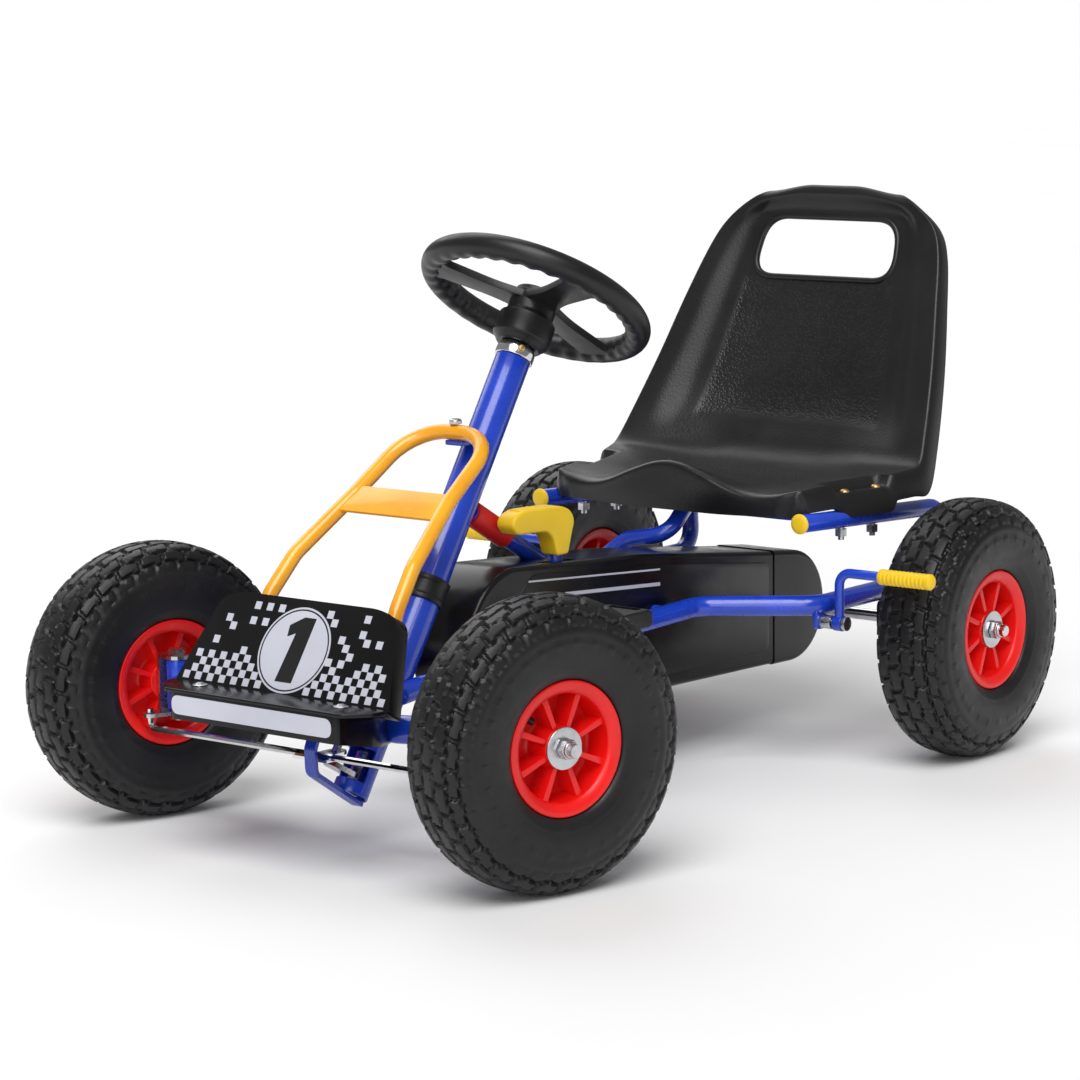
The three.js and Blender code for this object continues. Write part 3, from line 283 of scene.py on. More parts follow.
def cut_by(target, cutter):
    """Cuts an object by a mesh, with a modifier, and returns the cutting object."""
    tool = linked("tool", cutter)
    modifier = target.modifiers.new("cut", "BOOLEAN")
    modifier.operation = "DIFFERENCE"
    modifier.solver = "EXACT"
    modifier.object = tool
    return tool


def bored(mesh, *cutters):
    """The mesh less the cutters, which are used up."""
    target = linked("target", mesh)
    return settled(target, *[cut_by(target, cutter) for cutter in cutters])


def grid_faces(rows, columns, wrap_rows=True, wrap_columns=True):
    """Quads between the neighbours in a grid of vertices that are listed row by row."""
    faces = []
    for i in range(rows if wrap_rows else rows - 1):
        a, b = i * columns, (i + 1) % rows * columns
        for j in range(columns if wrap_columns else columns - 1):
            k = (j + 1) % columns
            faces.append((a + j, a + k, b + k, b + j))
    return faces


def mesh_of(vertices, faces):
    mesh = bpy.data.meshes.new("mesh")
    mesh.from_pydata([tuple(v) for v in vertices], [], faces)
    bm = bmesh.new()
    bm.from_mesh(mesh)
    bmesh.ops.remove_doubles(bm, verts=bm.verts, dist=1e-4)
    bmesh.ops.recalc_face_normals(bm, faces=bm.faces)
    bm.to_mesh(mesh)
    bm.free()
    return mesh


def joined(*meshes):
    bm = bmesh.new()
    for mesh in meshes:
        bm.from_mesh(mesh)
    return as_mesh(bm)


def moved(mesh, matrix):
    copy = mesh.copy()
    copy.transform(matrix)
    if matrix.determinant() < 0:
        copy.flip_normals()
    return copy


def rounded(points, radius, steps=4, closed=True):
    """The outline with its corners rounded. A point may carry its own radius as a third number."""
    count = len(points)
    out = []
    for i, point in enumerate(points):
        here = Vector(point[:2])
        own = point[2] if len(point) > 2 else radius
        if own == 0 or (not closed and i in (0, count - 1)):
            out.append(tuple(here))
            continue
        back = Vector(points[i - 1][:2]) - here
        ahead = Vector(points[(i + 1) % count][:2]) - here
        cut = min(own, back.length * 0.49, ahead.length * 0.49)
        start = here + back.normalized() * cut
        end = here + ahead.normalized() * cut
        for k in range(steps + 1):
            t = k / steps
            out.append(tuple((1 - t) ** 2 * start + 2 * t * (1 - t) * here + t * t * end))
    return out


def rect(x0, y0, x1, y1):
    return [(x0, y0), (x1, y0), (x1, y1), (x0, y1)]


def rod(start, end, radius):
    """The profile of a plain round bar about X."""
    return [(start, 0), (start, radius), (end, radius), (end, 0)]


def revolve(profile, segments=64):
    """Solid turned about X from (x, radius) points. It closes on itself if it stays off the axis."""
    vertices = []
    for k in range(segments):
        angle = 2 * math.pi * k / segments
        for x, radius in profile:
            vertices.append((x, radius * math.cos(angle), radius * math.sin(angle)))
    return mesh_of(vertices, grid_faces(segments, len(profile), wrap_columns=profile[0][1] != 0))


def turned(profile, corner, steps, segments, place=SAME):
    """A revolved part with its corners rounded, except for the ends that lie on the axis."""
    return moved(revolve(rounded(profile, corner, steps, profile[0][1] != 0), segments), place)


def route(corners, bend, steps=7):
    """A path of straight lengths joined by round bends."""
    points = [Vector(c) for c in corners]
    path = [points[0]]
    for i in range(1, len(points) - 1):
        into = (points[i] - points[i - 1]).normalized()
        out = (points[i + 1] - points[i]).normalized()
        turn = into.angle(out)
        room = min((points[i] - points[i - 1]).length, (points[i + 1] - points[i]).length) * 0.48
        setback = min(bend * math.tan(turn / 2), room)
        radius = setback / math.tan(turn / 2)
        start = points[i] - into * setback
        side = (out - into * out.dot(into)).normalized()
        for k in range(steps + 1):
            angle = turn * k / steps
            path.append(start + into * radius * math.sin(angle) + side * radius * (1 - math.cos(angle)))
    path.append(points[-1])
    return path


def pipe(corners, radius, bend=30, sides=28, cap=1.0):
    """A bent tube with slightly rounded ends."""
    path = route(corners, bend)
    tangents = []
    for i in range(len(path)):
        tangents.append((path[min(i + 1, len(path) - 1)] - path[max(i - 1, 0)]).normalized())
    normal = tangents[0].orthogonal().normalized()
    rings = []
    for i, (point, tangent) in enumerate(zip(path, tangents)):
        normal = (normal - tangent * normal.dot(tangent)).normalized()
        across = tangent.cross(normal)
        stages = [(0, radius)]
        if i == 0:
            stages = [(0, radius - cap), (cap * 0.3, radius - cap * 0.3), (cap, radius)]
        if i == len(path) - 1:
            stages = [(-cap, radius), (-cap * 0.3, radius - cap * 0.3), (0, radius - cap)]
        for along, r in stages:
            ring = []
            for k in range(sides):
                angle = 2 * math.pi * k / sides
                ring.append(point + tangent * along + (normal * math.cos(angle) + across * math.sin(angle)) * r)
            rings.append(ring)
    vertices = [v for ring in rings for v in ring]
    ends = [tuple(range(sides))[::-1], tuple(range(len(vertices) - sides, len(vertices)))]
    return mesh_of(vertices, ends + grid_faces(len(rings), sides, wrap_rows=False))


def slab(outline, low, high, bevel=1.5, segments=3):
    """A plate of an outline in its own X and Y, with rounded edges."""
    bm = bmesh.new()
    bottom = [bm.verts.new((x, y, low)) for x, y in outline]
    face = bm.faces.new(bottom)
    lifted = bmesh.ops.extrude_face_region(bm, geom=[face])["geom"]
    top = [v for v in lifted if isinstance(v, bmesh.types.BMVert)]
    bmesh.ops.translate(bm, verts=top, vec=(0, 0, high - low))
    bmesh.ops.recalc_face_normals(bm, faces=bm.faces)
    if bevel:
        rims = [e for e in bm.edges if len(e.link_faces) == 2 and e.calc_face_angle() > 0.9
                and abs(e.verts[0].co.z - e.verts[1].co.z) < 1e-6]
        bmesh.ops.bevel(bm, geom=rims, offset=bevel, segments=segments, profile=0.5, affect="EDGES",
                        clamp_overlap=True)
    return as_mesh(bm)


def side_plate(outline, low, high, bevel=1.5, segments=3):
    return moved(slab(outline, low, high, bevel, segments), SIDE_ON)


def arc(cx, cy, radius, start, end, count):
    step = (end - start) / count
    return [(cx + radius * math.cos(start + step * i), cy + radius * math.sin(start + step * i))
            for i in range(count + 1)]


def catmull(values, t):
    """Smooth value through evenly spaced numbers or vectors, at t from 0 to their last index."""
    i = min(int(t), len(values) - 2)
    f = t - i
    before, here = values[max(i - 1, 0)], values[i]
    there, after = values[i + 1], values[min(i + 2, len(values) - 1)]
    return 0.5 * (2 * here + (there - before) * f + (2 * before - 5 * here + 4 * there - after) * f ** 2
                  + (3 * here - before - 3 * there + after) * f ** 3)


# ------------------------------------------------------------------ wheels
TREAD_PITCHES = 30
TREAD_DEPTH = 3.2
PROFILE_KNOTS = [(28.6, 61.4), (33.2, 62.2), (37.0, 68), (39.8, 78), (40.9, 90), (40.0, 103), (37.0, 114),
                 (32.5, 123), (26.5, 128.6), (18, 131.5), (9, 132.7), (0, 133)]
BEAD_SEAT = [(-28.0, 58), (-25.7, 52.85), (25.7, 52.85), (28.0, 58)]
# Each row of blocks: from and to, in mm from the centre line, its stagger and its gap, in pitches.
TREAD_ROWS = [(1.1, 13.2, 0.0, 0.1), (15.2, 26.8, 0.5, 0.1), (29.0, 39.6, 0.0, 0.11), (41.6, 50.5, 0.5, 0.16)]
SHOULDER_RISE = 0.75
TREAD_REACH = 53
FADE_FROM = 40
HUB_BACK = -21.5
RIBS = 8


def tread_height(along, turn):
    """Depth below the tread's face, 0 to 1, at mm from the centre line and in pitches round."""
    side = 1 if along > 0 else -1
    zigzag = abs((turn * 2) % 2 - 1)
    s = abs(along + 2.4 * (zigzag - 0.5))
    for index, (start, end, stagger, slot) in enumerate(TREAD_ROWS):
        if not start <= s <= end:
            continue
        place = (turn + stagger + (0.25 if side < 0 else 0)) % 1
        edge = min(s - start, end - s) / 0.8
        slant = 0.12 * (s - start) / (end - start)
        gap = min(abs(place - slant), abs(1 - place + slant))
        ends = (gap - slot / 2) / 0.04
        rise = max(0.0, min(1.0, edge, ends))
        return rise * (SHOULDER_RISE if index == 3 else 1)
    return 0.0


def side_relief(radius, turn):
    """Depth of the sidewall's rings, and its row of small raised dashes (which stand proud)."""
    ring = 0.7 * max(0.0, 1 - abs(radius - 71.5) / 1.6) + 0.6 * max(0.0, 1 - abs(radius - 98.5) / 1.4)
    dash = -0.5 if abs(radius - 93.5) < 2.4 and turn % 1 < 0.36 else 0.0
    return ring + dash


def tyre_mesh(around=612, across=104):
    """Tyre about X, its tread cut into the geometry."""
    half = [Vector(k) for k in PROFILE_KNOTS]
    last = len(half) - 1
    profile = [catmull(half, last * i / (across // 2)) for i in range(across // 2 + 1)]
    lengths = [0.0]
    for a, b in zip(profile[::-1], profile[::-1][1:]):
        lengths.append(lengths[-1] + (a - b).length)
    whole = [(p.x, p.y, s) for p, s in zip(profile, lengths[::-1])]
    whole += [(-x, r, -s) for x, r, s in whole[:-1][::-1]]
    normals = []
    for i in range(len(whole)):
        a, b = whole[max(i - 1, 0)], whole[min(i + 1, len(whole) - 1)]
        d = Vector((b[0] - a[0], b[1] - a[1])).normalized()
        normals.append(Vector((-d.y, d.x)))
    vertices = []
    for k in range(around):
        angle = 2 * math.pi * k / around
        turn = TREAD_PITCHES * k / around
        ring = []
        for (x, r, s), n in zip(whole, normals):
            reach = abs(s)
            if reach < TREAD_REACH:
                fade = 1.0 if reach < FADE_FROM else max(0.35, 1 - (reach - FADE_FROM) / 16)
                depth = TREAD_DEPTH * fade * (1 - tread_height(s, turn)) * min(1.0, (TREAD_REACH - reach) / 2)
            else:
                depth = side_relief(r, turn)
            sign = -1 if n.y < 0 or (abs(n.y) < 0.2 and n.x * x < 0) else 1
            ring.append((x - sign * n.x * depth, r - sign * n.y * depth))
        for x, r in ring + BEAD_SEAT:
            vertices.append((x, r * math.cos(angle), r * math.sin(angle)))
    return mesh_of(vertices, grid_faces(around, len(whole) + len(BEAD_SEAT)))


def rim_mesh():
    """Rim of a left wheel about X: deep dish, eight ribs, and the hub's outer face."""
    seat = [(26, 52.4, 1), (29, 60.9, 1.2), (33, 60.9, 1.8), (33, 56.4, 1.8), (31.2, 52, 2), (28.2, 48.6, 2),
            (3, 46.4, 4)]
    hub = [(3, 21.5, 4), (25.4, 18.4, 1.5), (27, 16.6, 1), (27, 6.8, 0.4)]
    inner = [(-x, r, c) for x, r, c in seat] + [(max(-x, HUB_BACK), r, c) for x, r, c in hub]
    body = turned(seat + hub + inner[::-1], 1, 4, 96)
    ribs = []
    for i in range(RIBS):
        outline = rounded([(17, -2.1), (51, -3.0), (51, 3.0), (17, 2.1)], 0.2, 2)
        ribs.append(moved(side_plate(outline, -19.5, 25.4, 1.1), spin((i + 0.5) * 360 / RIBS, "X")))
    return joined(body, *ribs)


def valve_mesh():
    stem = [(0, 0), (0, 3.4), (3, 3.4), (3.6, 2.6), (9, 2.6), (9.4, 3.3), (16, 3.1), (17.5, 2.2), (17.5, 0)]
    return revolve(stem, 20)


def hub_nut_mesh():
    washer = turned(rect(27.35, 6.4, 29.4, 19), 0.6, 3, 64)
    hexagon = rounded(arc(0, 0, 9.6, 0, math.radians(300), 5), 0.6, 2)
    nut = side_plate(hexagon, 29.5, 37.5, 0.9)
    collar = turned([(37.2, 0), (37.2, 7.8), (39.6, 7.0), (39.6, 0)], 0.8, 3, 40)
    end = revolve([(39, 0), (39, 4.9), (40.9, 4.9), (41.9, 3.9), (41.9, 0)], 32)
    return joined(washer, nut, collar, end)


VALVE_TURN = {"front_left": 135, "rear_left": 45, "front_right": 90, "rear_right": 90}


def build_wheels():
    tyre, rim, nut, valve = tyre_mesh(), rim_mesh(), hub_nut_mesh(), valve_mesh()
    steer = Matrix.Rotation(REST_STEER, 4, "Z")
    for end in ("front", "rear"):
        for hand, side, flip in HANDS:
            name = f"{end}_{hand}"
            if end == "rear":
                place = at(side * REAR_WHEEL_X, WHEELBASE, AXLE_Z) @ flip
                wheel_body = "rear_drive" if side > 0 else "wheel_rear_right"
                nut_body = "rear_drive"
            else:
                offset = steer @ Vector((side * KINGPIN_TO_WHEEL, 0, 0))
                place = at(side * KINGPIN_X + offset.x, offset.y, AXLE_Z) @ steer @ flip
                wheel_body = f"wheel_{name}"
                nut_body = f"knuckle_{hand}"
            add_piece(f"{name}_tyre", tyre.copy(), wheel_body, "tyre_rubber", (f"tyre_{name}",), place, 40)
            add_piece(f"{name}_rim", rim.copy(), wheel_body, "red_plastic", (f"rim_{name}",), place, 40)
            add_piece(f"{name}_nut", nut.copy(), nut_body, "zinc_steel", (f"hub_nut_{name}",), place, 30)
            stem = moved(valve, spin(VALVE_TURN[name], "X") @ at(5, 47, 0) @ spin(-48, "Z"))
            add_piece(f"{name}_valve", stem, wheel_body, "black_plastic", (), place)


# ------------------------------------------------------------------ frame tubes
SIDE_TUBE = [(19, 62, 138), (21, 100, 142), (52, 138, 144), (54, 290, 146), (56, 372, 161), (57, 483, 164),
             (163, 546, 166), (161, 712, 165)]
BEAM = [(-208, 0, 133), (-70, 0, 122), (70, 0, 122), (208, 0, 133)]


RAIL_START = (RAIL_X, 511, 254)
RAIL_BACK = 776
RAIL_FALL = 0.0527


def rail_z(y):
    return RAIL_START[2] - (y - RAIL_START[1]) * RAIL_FALL


def mirrored(points):
    return [(-x, y, z) for x, y, z in points]


def build_frame():
    at_brake = at(0, BRAKE_Y, BRAKE_Z)
    at_axle = at(0, WHEELBASE, AXLE_Z)
    for hand, _, flip in HANDS:
        tube = pipe(SIDE_TUBE, 10.4, 30)
        housing = side_plate(rounded(rect(203, 142, 233, 176), 5), 46.5, 61.5, 2)
        lug = side_plate(rounded([(540, 142), (556, 142), (558, 162), (538, 162)], 5), 160.5, 166, 1)
        add_piece(f"frame_side_{hand}", joined(tube, housing, lug), "frame", "blue_paint",
                  (f"side_tube_{hand}",), flip)
        bolt = turned([(166, 0), (166, 7), (179.5, 7), (179.5, 4), (192.6, 4), (192.6, 7.2), (197, 7.2), (197, 0)],
                      0.5, 2, 28, at_brake)
        add_piece(f"brake_bolt_{hand}", bolt, "frame", "zinc_steel", (), flip)
        rail = pipe([RAIL_START, (RAIL_X, RAIL_BACK, rail_z(RAIL_BACK)), (161, RAIL_BACK, 165), (161, 712.7, 165)],
                    9.2, 26)
        add_piece(f"seat_rail_tube_{hand}", rail, "frame", "blue_paint", (f"seat_rail_{hand}",), flip)
        cap = turned([(-5, 0), (-4.4, 7), (-2.4, 10.3), (-0.6, 10.3), (-0.6, 0)], 1.5, 4, 40,
                     at(*RAIL_START) @ spin(90, "Z"))
        add_piece(f"rail_plug_{hand}", cap, "frame", "yellow_plastic", (f"rail_cap_{hand}",), flip)
        bearing = side_plate(rounded(rect(668, 118.5, 702, 153.5), 9), 153.2, 168.8, 2)
        flange = turned(rect(151.5, 6.7, 153.3, 13), 0.5, 2, 40, at_axle)
        add_piece(f"axle_bearing_block_{hand}", joined(bearing, flange), "frame", "black_plastic",
                  (f"axle_bearing_{hand}",), flip)
    beam = pipe(BEAM, 13.2, 60, 36)
    sleeves = [turned(rect(-24, 5.4, 24, 10.5), 0.6, 2, 40, at(side * KINGPIN_X, 0, AXLE_Z) @ ABOUT_Z)
               for side in (-1, 1)]
    add_piece("front_axle_beam", joined(beam, *sleeves), "frame", "blue_paint", ("front_beam",))
    level = rail_z(566)
    bar = slab(rounded(rect(-163, 551, 163, 581), 2), level - 2, level + 2, 0.8)
    post = pipe([(-13, 560, level), (-13, 530, 226), (-60, 520, 218), (-112, 514, 178), (-112, 516, 172)], 8.5, 24)
    add_piece("seat_cross_bar", joined(bar, post), "frame", "blue_paint", ("seat_post",))
    along = (BRACE_FOOT - BRACE_TOP).normalized()
    brace = pipe([BRACE_TOP + along * 21, BRACE_FOOT], 9.1, 1)
    bridge = turned(rod(-46, 46, 7.8), 0.5, 2, 24, at(0, BRACE_FOOT.y, BRACE_FOOT.z))
    add_piece("brace_rod", joined(brace, bridge), "frame", "blue_paint", ("brace_tube",))
    sleeve = pipe([BRACE_TOP + along * 22, BRACE_TOP + along * 88], 12.3, 1, 40, 2)
    add_piece("brace_cover", sleeve, "frame", "red_foam", ("brace_sleeve",))
    reach = 300
    axle = revolve([(-reach, 0), (-reach, 5), (-reach + 1, 6), (reach - 1, 6), (reach, 5), (reach, 0)], 32)
    add_piece("rear_shaft", moved(axle, at_axle), "rear_drive", "chrome", ("rear_axle",))


# ------------------------------------------------------------------ steering
SPOKE_ANGLES = (96, -12, -122)
SCALLOPS = 34
SCALLOP_DEPTH = 1.9


def finger_wave(section, around):
    """Scallops on the ring's inner and lower side."""
    facing = max(0.0, math.cos(section - math.radians(215)))
    return SCALLOP_DEPTH * facing * (0.5 - 0.5 * math.cos(around * SCALLOPS))


def ring_mesh(around=544, sides=28):
    vertices = []
    for i in range(around):
        a = 2 * math.pi * i / around
        for j in range(sides):
            b = 2 * math.pi * j / sides
            r = RING_GRIP_R - finger_wave(b, a)
            reach = RING_R + r * math.cos(b)
            vertices.append((reach * math.cos(a), reach * math.sin(a), WHEEL_STATION + r * math.sin(b)))
    return mesh_of(vertices, grid_faces(around, sides))


def build_column():
    column = turned(rect(COLUMN_BOTTOM, COLUMN_R - 2, COLUMN_TOP, COLUMN_R), 0.5, 2, 64, ABOUT_Z)
    window = slab(rounded(rect(-20, -30, 20, -4), 1, 2), -85, -53, 0)
    add_piece("column_pipe", bored(column, window), "frame", "blue_paint", ("column_tube",), COLUMN)
    tab = slab(rounded(rect(-11, 162, 11, 196), 3), 359, 363.7, 1)
    add_piece("fairing_tab", tab, "frame", "blue_paint", (), at(0, 6, 0))
    top = COLUMN_TOP
    collar = turned([(top + 0.4, 9), (top + 0.4, 19.3), (top + 9, 19.3), (top + 14, 17), (top + 14, 9)],
                    1.2, 3, 64, ABOUT_Z)
    add_piece("column_ring", collar, "frame", "chrome", ("column_collar",), COLUMN)
    stud = turned([(0, 0), (0, 3.6), (3, 3.6), (4.2, 2.4), (4.2, 0)], 0.4, 2, 20,
                  at(15.4, -12, 368) @ spin(-40, "Z"))
    add_piece("column_stud", stud, "frame", "brass", (), COLUMN)
    band = turned([(101, 17.9), (125, 17.9), (125, 20.4), (121, 20.4), (119, 19.4), (107, 19.4), (105, 20.4),
                   (101, 20.4)], 0.6, 2, 64, ABOUT_Z)
    add_piece("column_clamp", band, "frame", "black_plastic", ("column_band",), COLUMN)


def build_steering_wheel():
    neck, ring = COLUMN_TOP + 14.4, WHEEL_STATION
    hub = turned([(neck, 0), (neck, 22), (neck + 4, 25), (neck + 7, 28.4), (neck + 29, 28.4), (neck + 31, 25),
                  (neck + 34, 23.4), (ring + 1, 23.4), (ring + 1, 21), (ring + 6, 21), (ring + 6, 0)],
                 1.6, 4, 72, ABOUT_Z)
    parts = [ring_mesh(), hub]
    for angle in SPOKE_ANGLES:
        outline = rounded([(12, -19), (40, -13.5, 18), (92, -17, 6), (99, -24, 4), (99, 24, 4), (92, 17, 6),
                           (40, 13.5, 18), (12, 19)], 1, 6)
        parts.append(moved(slab(outline, ring - 9, ring - 1.5, 2.2, 4), spin(angle, "Z")))
    add_piece("steering_ring", joined(*parts), "steering", "black_plastic", ("steering_wheel",), TURNED_COLUMN, 45)
    for index, angle in enumerate(SPOKE_ANGLES):
        clip = slab(rounded(rect(80, -5, 87, 5), 2), ring - 1.4, ring - 0.2, 0.5)
        add_piece(f"spoke_clip_{index}", moved(clip, spin(angle, "Z")), "steering", "chrome", (), TURNED_COLUMN)


# ------------------------------------------------------------------ fairing and shield
FAIRING = [(86, -104, 147), (82, -50, 150), (77.5, -8, 234), (72, 22, 268.5), (57, 92, 318.5), (50, 172, 371.5)]
FAIRING_BEND = 46
PANEL_TOP = (104, -40, 241)
PANEL_FOOT = (131, -86, 158)
NOSE_FRONT = -122
PANEL_FACE = -2.2
NUMBER_HEIGHT = 46
CELL = 7.4
# How many of the squares are kept, row by row from the foot.
CHECK_DENSITY = [1.0, 1.0, 1.0, 0.75, 0.5, 0.5, 0.34]


def panel_frame():
    lean = math.atan2(PANEL_TOP[1] - PANEL_FOOT[1], PANEL_TOP[2] - PANEL_FOOT[2])
    return at(0, PANEL_FOOT[1], PANEL_FOOT[2]) @ Matrix.Rotation(math.pi / 2 - lean, 4, "X")


def panel_half(height, full):
    return PANEL_FOOT[0] + (PANEL_TOP[0] - PANEL_FOOT[0]) * height / full


def chip(x, y, half_x, half_y, low, thickness):
    """Vertices and faces of a thin tile."""
    vertices = [(x + i * half_x, y + j * half_y, low + k * thickness)
                for k in (0, 1) for j in (-1, 1) for i in (-1, 1)]
    faces = [(0, 2, 3, 1), (4, 5, 7, 6), (0, 1, 5, 4), (2, 6, 7, 3), (0, 4, 6, 2), (1, 3, 7, 5)]
    return vertices, faces


def checker_mesh(full):
    """Dense squares along the panel's foot that thin out upwards, round the number plate."""
    chance = random.Random(7)
    vertices, faces = [], []
    rows = int((full - 12) / CELL)
    for row in range(rows):
        y = 6 + (row + 0.5) * CELL
        for column in range(-17, 18):
            x = column * CELL
            clear_of_plate = math.hypot(x, y - NUMBER_HEIGHT) > 43.5
            inside = abs(x) + CELL / 2 < panel_half(y, full) - 6
            if row > rows - 3:
                inside = inside and abs(x) < PANEL_TOP[0] - 16
            even = (row + column) % 2 == 0
            density = CHECK_DENSITY[min(row, len(CHECK_DENSITY) - 1)]
            if even and inside and clear_of_plate and chance.random() < density:
                tile_vertices, tile_faces = chip(x, y, CELL / 2, CELL / 2, 0.05, 0.25)
                start = len(vertices)
                vertices += tile_vertices
                faces += [tuple(start + i for i in face) for face in tile_faces]
    mesh = bpy.data.meshes.new("checks")
    mesh.from_pydata(vertices, [], faces)
    return mesh


def disc(radius, low, high, inner=0.0):
    profile = rect(low, inner, high, radius) if inner else rod(low, high, radius)
    return moved(revolve(profile, 72), ABOUT_Z)


def panel_mesh(full):
    """The sloping panel: a raised border round a sunk face, with its edges turned back."""
    foot, top = PANEL_FOOT[0], PANEL_TOP[0]
    outline = rounded([(-foot, 0, 3), (foot, 0, 3), (top + 2, full - 6, 26), (top - 22, full, 10),
                       (22 - top, full, 10), (-top - 2, full - 6, 26)], 3, 8)
    bm = bmesh.new()
    face = bm.faces.new([bm.verts.new((x, y, 0)) for x, y in outline])
    bm.normal_update()
    if face.normal.z < 0:
        face.normal_flip()
    for thickness, depth in ((2.4, 0), (1.6, -1.8), (1.2, -0.4)):
        bmesh.ops.inset_region(bm, faces=[face], thickness=thickness, depth=depth)
    rim = [e for e in bm.edges if len(e.link_faces) == 1]
    pushed = bmesh.ops.extrude_edge_only(bm, edges=rim)["geom"]
    bmesh.ops.translate(bm, verts=[v for v in pushed if isinstance(v, bmesh.types.BMVert)], vec=(0, 0, -18))
    bmesh.ops.recalc_face_normals(bm, faces=bm.faces)
    holder = thickened(as_mesh(bm), 2.4)
    soft = holder.modifiers.new("soft", "BEVEL")
    soft.width = 0.9
    soft.segments = 3
    soft.limit_method = "ANGLE"
    return settled(holder)


def nose_mesh(legs):
    """The open box under the panel, cut for the axle beam, the column and the fairing's legs."""
    front = NOSE_FRONT
    plan = [(-104, front), (104, front), (104, -64), (52, 10), (-52, 10), (-104, -64)]
    inset = [(-101, front + 3), (101, front + 3), (101, -65), (50.5, 7), (-50.5, 7), (-101, -65)]
    nose = slab(rounded(plan, 12, 6), 92, 158, 1.2)
    hollow = slab(rounded(inset, 10, 6), 60, 155, 0)
    slant = side_plate([(-160, 50), (40, 50), (40, 99), (-160, 141)], -150, 150, 0)
    throat = slab(rect(-49, -60, 49, 20), 140, 170, 0)
    notch = slab(rect(-17, 0, 17, 40), 85, 165, 0)
    return bored(bored(nose, hollow, slant, throat, pipe(BEAM, 14.6, 60, 28), notch), legs)


def fairing_tube(radius, sides):
    return pipe(FAIRING + mirrored(FAIRING)[::-1], radius, FAIRING_BEND, sides)


def build_shield():
    full = math.hypot(PANEL_TOP[1] - PANEL_FOOT[1], PANEL_TOP[2] - PANEL_FOOT[2])
    foot, front = PANEL_FOOT[0], NOSE_FRONT
    stand = panel_frame()
    ledge = slab(rounded([(-foot, -84), (2 - foot, -98), (-108, front), (108, front), (foot - 2, -98), (foot, -84)],
                         5, 4), 157, 161, 1.4, 4)
    for name, mesh, stands_for in (
            ("panel", moved(panel_mesh(full), stand), ("front_shield",)),
            ("ledge", bored(ledge, fairing_tube(8.4, 24)), ()),
            ("nose", nose_mesh(fairing_tube(8.4, 24)), ())):
        add_piece(f"shield_{name}", mesh, "frame", "black_gloss_plastic", stands_for, crease=30)

    flat = stand @ at(0, 0, PANEL_FACE)
    add_piece("shield_checks", checker_mesh(full), "frame", "decal_pale", (), flat)
    numeral = slab(rounded([(-11, -31), (9, -31), (15, 32), (1, 32), (-14, 23), (-13, 12), (-4, 16)], 0.6, 2),
                   0.3, 0.5, 0)
    for name, mesh, ink in (("number_plate", disc(41.5, 0.05, 0.35), "decal_pale"),
                            ("number_ring", disc(39.6, 0.3, 0.5, 38.2), "decal_black"),
                            ("number", numeral, "decal_black")):
        add_piece(f"shield_{name}", moved(mesh, at(0, NUMBER_HEIGHT, 0)), "frame", ink, (), flat)
    label = slab(rounded(rect(-97, 138, 97, 155.4), 8.4, 8), 0, 0.5, 0)
    add_piece("nose_label", moved(label, at(0, front, 0) @ spin(90, "X")), "frame", "decal_pale")
    for hand, side, _ in HANDS:
        screw = turned([(0, 0), (0, 7), (0.8, 7), (1.2, 4.4), (2.6, 3), (2.9, 0)], 0.4, 2, 28, ABOUT_Z)
        recess = [(x, y) for turn in (SAME, spin(90, "Z"), spin(180, "Z"), spin(270, "Z"))
                  for x, y, _ in (turn @ Vector(corner) for corner in ((-0.4, -2, 0), (0.4, -2, 0), (0.4, -0.4, 0)))]
        screw = bored(screw, slab(recess, 1.6, 4, 0))
        add_piece(f"shield_screw_{hand}", screw, "frame", "zinc_steel", (), at(side * 86, -96, 161))


def build_fairing():
    lower, upper = Vector((63, 62, 296.5)), Vector((57.5, 90, 316.5))
    run = upper - lower
    outline = rounded([(-61, 9), (61, 9), (55, 43), (-55, 43)], 0.5, 2)
    slope = Matrix.Rotation(math.atan2(run.z, run.y), 4, "X")
    plate = moved(slab(outline, 2.0, 5.0, 0.9), at(0, lower.y, lower.z) @ slope)
    add_piece("fairing_frame", joined(fairing_tube(7.3, 32), plate), "frame", "amber_paint", ("fairing_bar",))
    nut = turned([(0.2, 0), (0.2, 6), (4, 6), (5.1, 4.4), (5.1, 0)], 0.7, 3, 28, at(0, 172, 379.2) @ ABOUT_Z)
    add_piece("fairing_dome_nut", nut, "frame", "zinc_steel", ("fairing_bolt",))


# ------------------------------------------------------------------ chain guard, pedals, levers
CHAINRING_TEETH = 30
CHAIN_PITCH = 12.7


def guard_outline(inset):
    front, back = 76 - inset, 58.5 - inset
    points = arc(CRANK.y, CRANK.z, front, math.pi * 0.53, math.pi * 1.52, 30)
    points += arc(WHEELBASE, AXLE_Z, back, math.pi * 1.5, math.pi * 2.46, 26)
    return points + [(420, 224 - inset)]


def cross_hole(radius, y, z, start=-60):
    return moved(revolve(rod(start, 60, radius), 32), at(0, y, z))


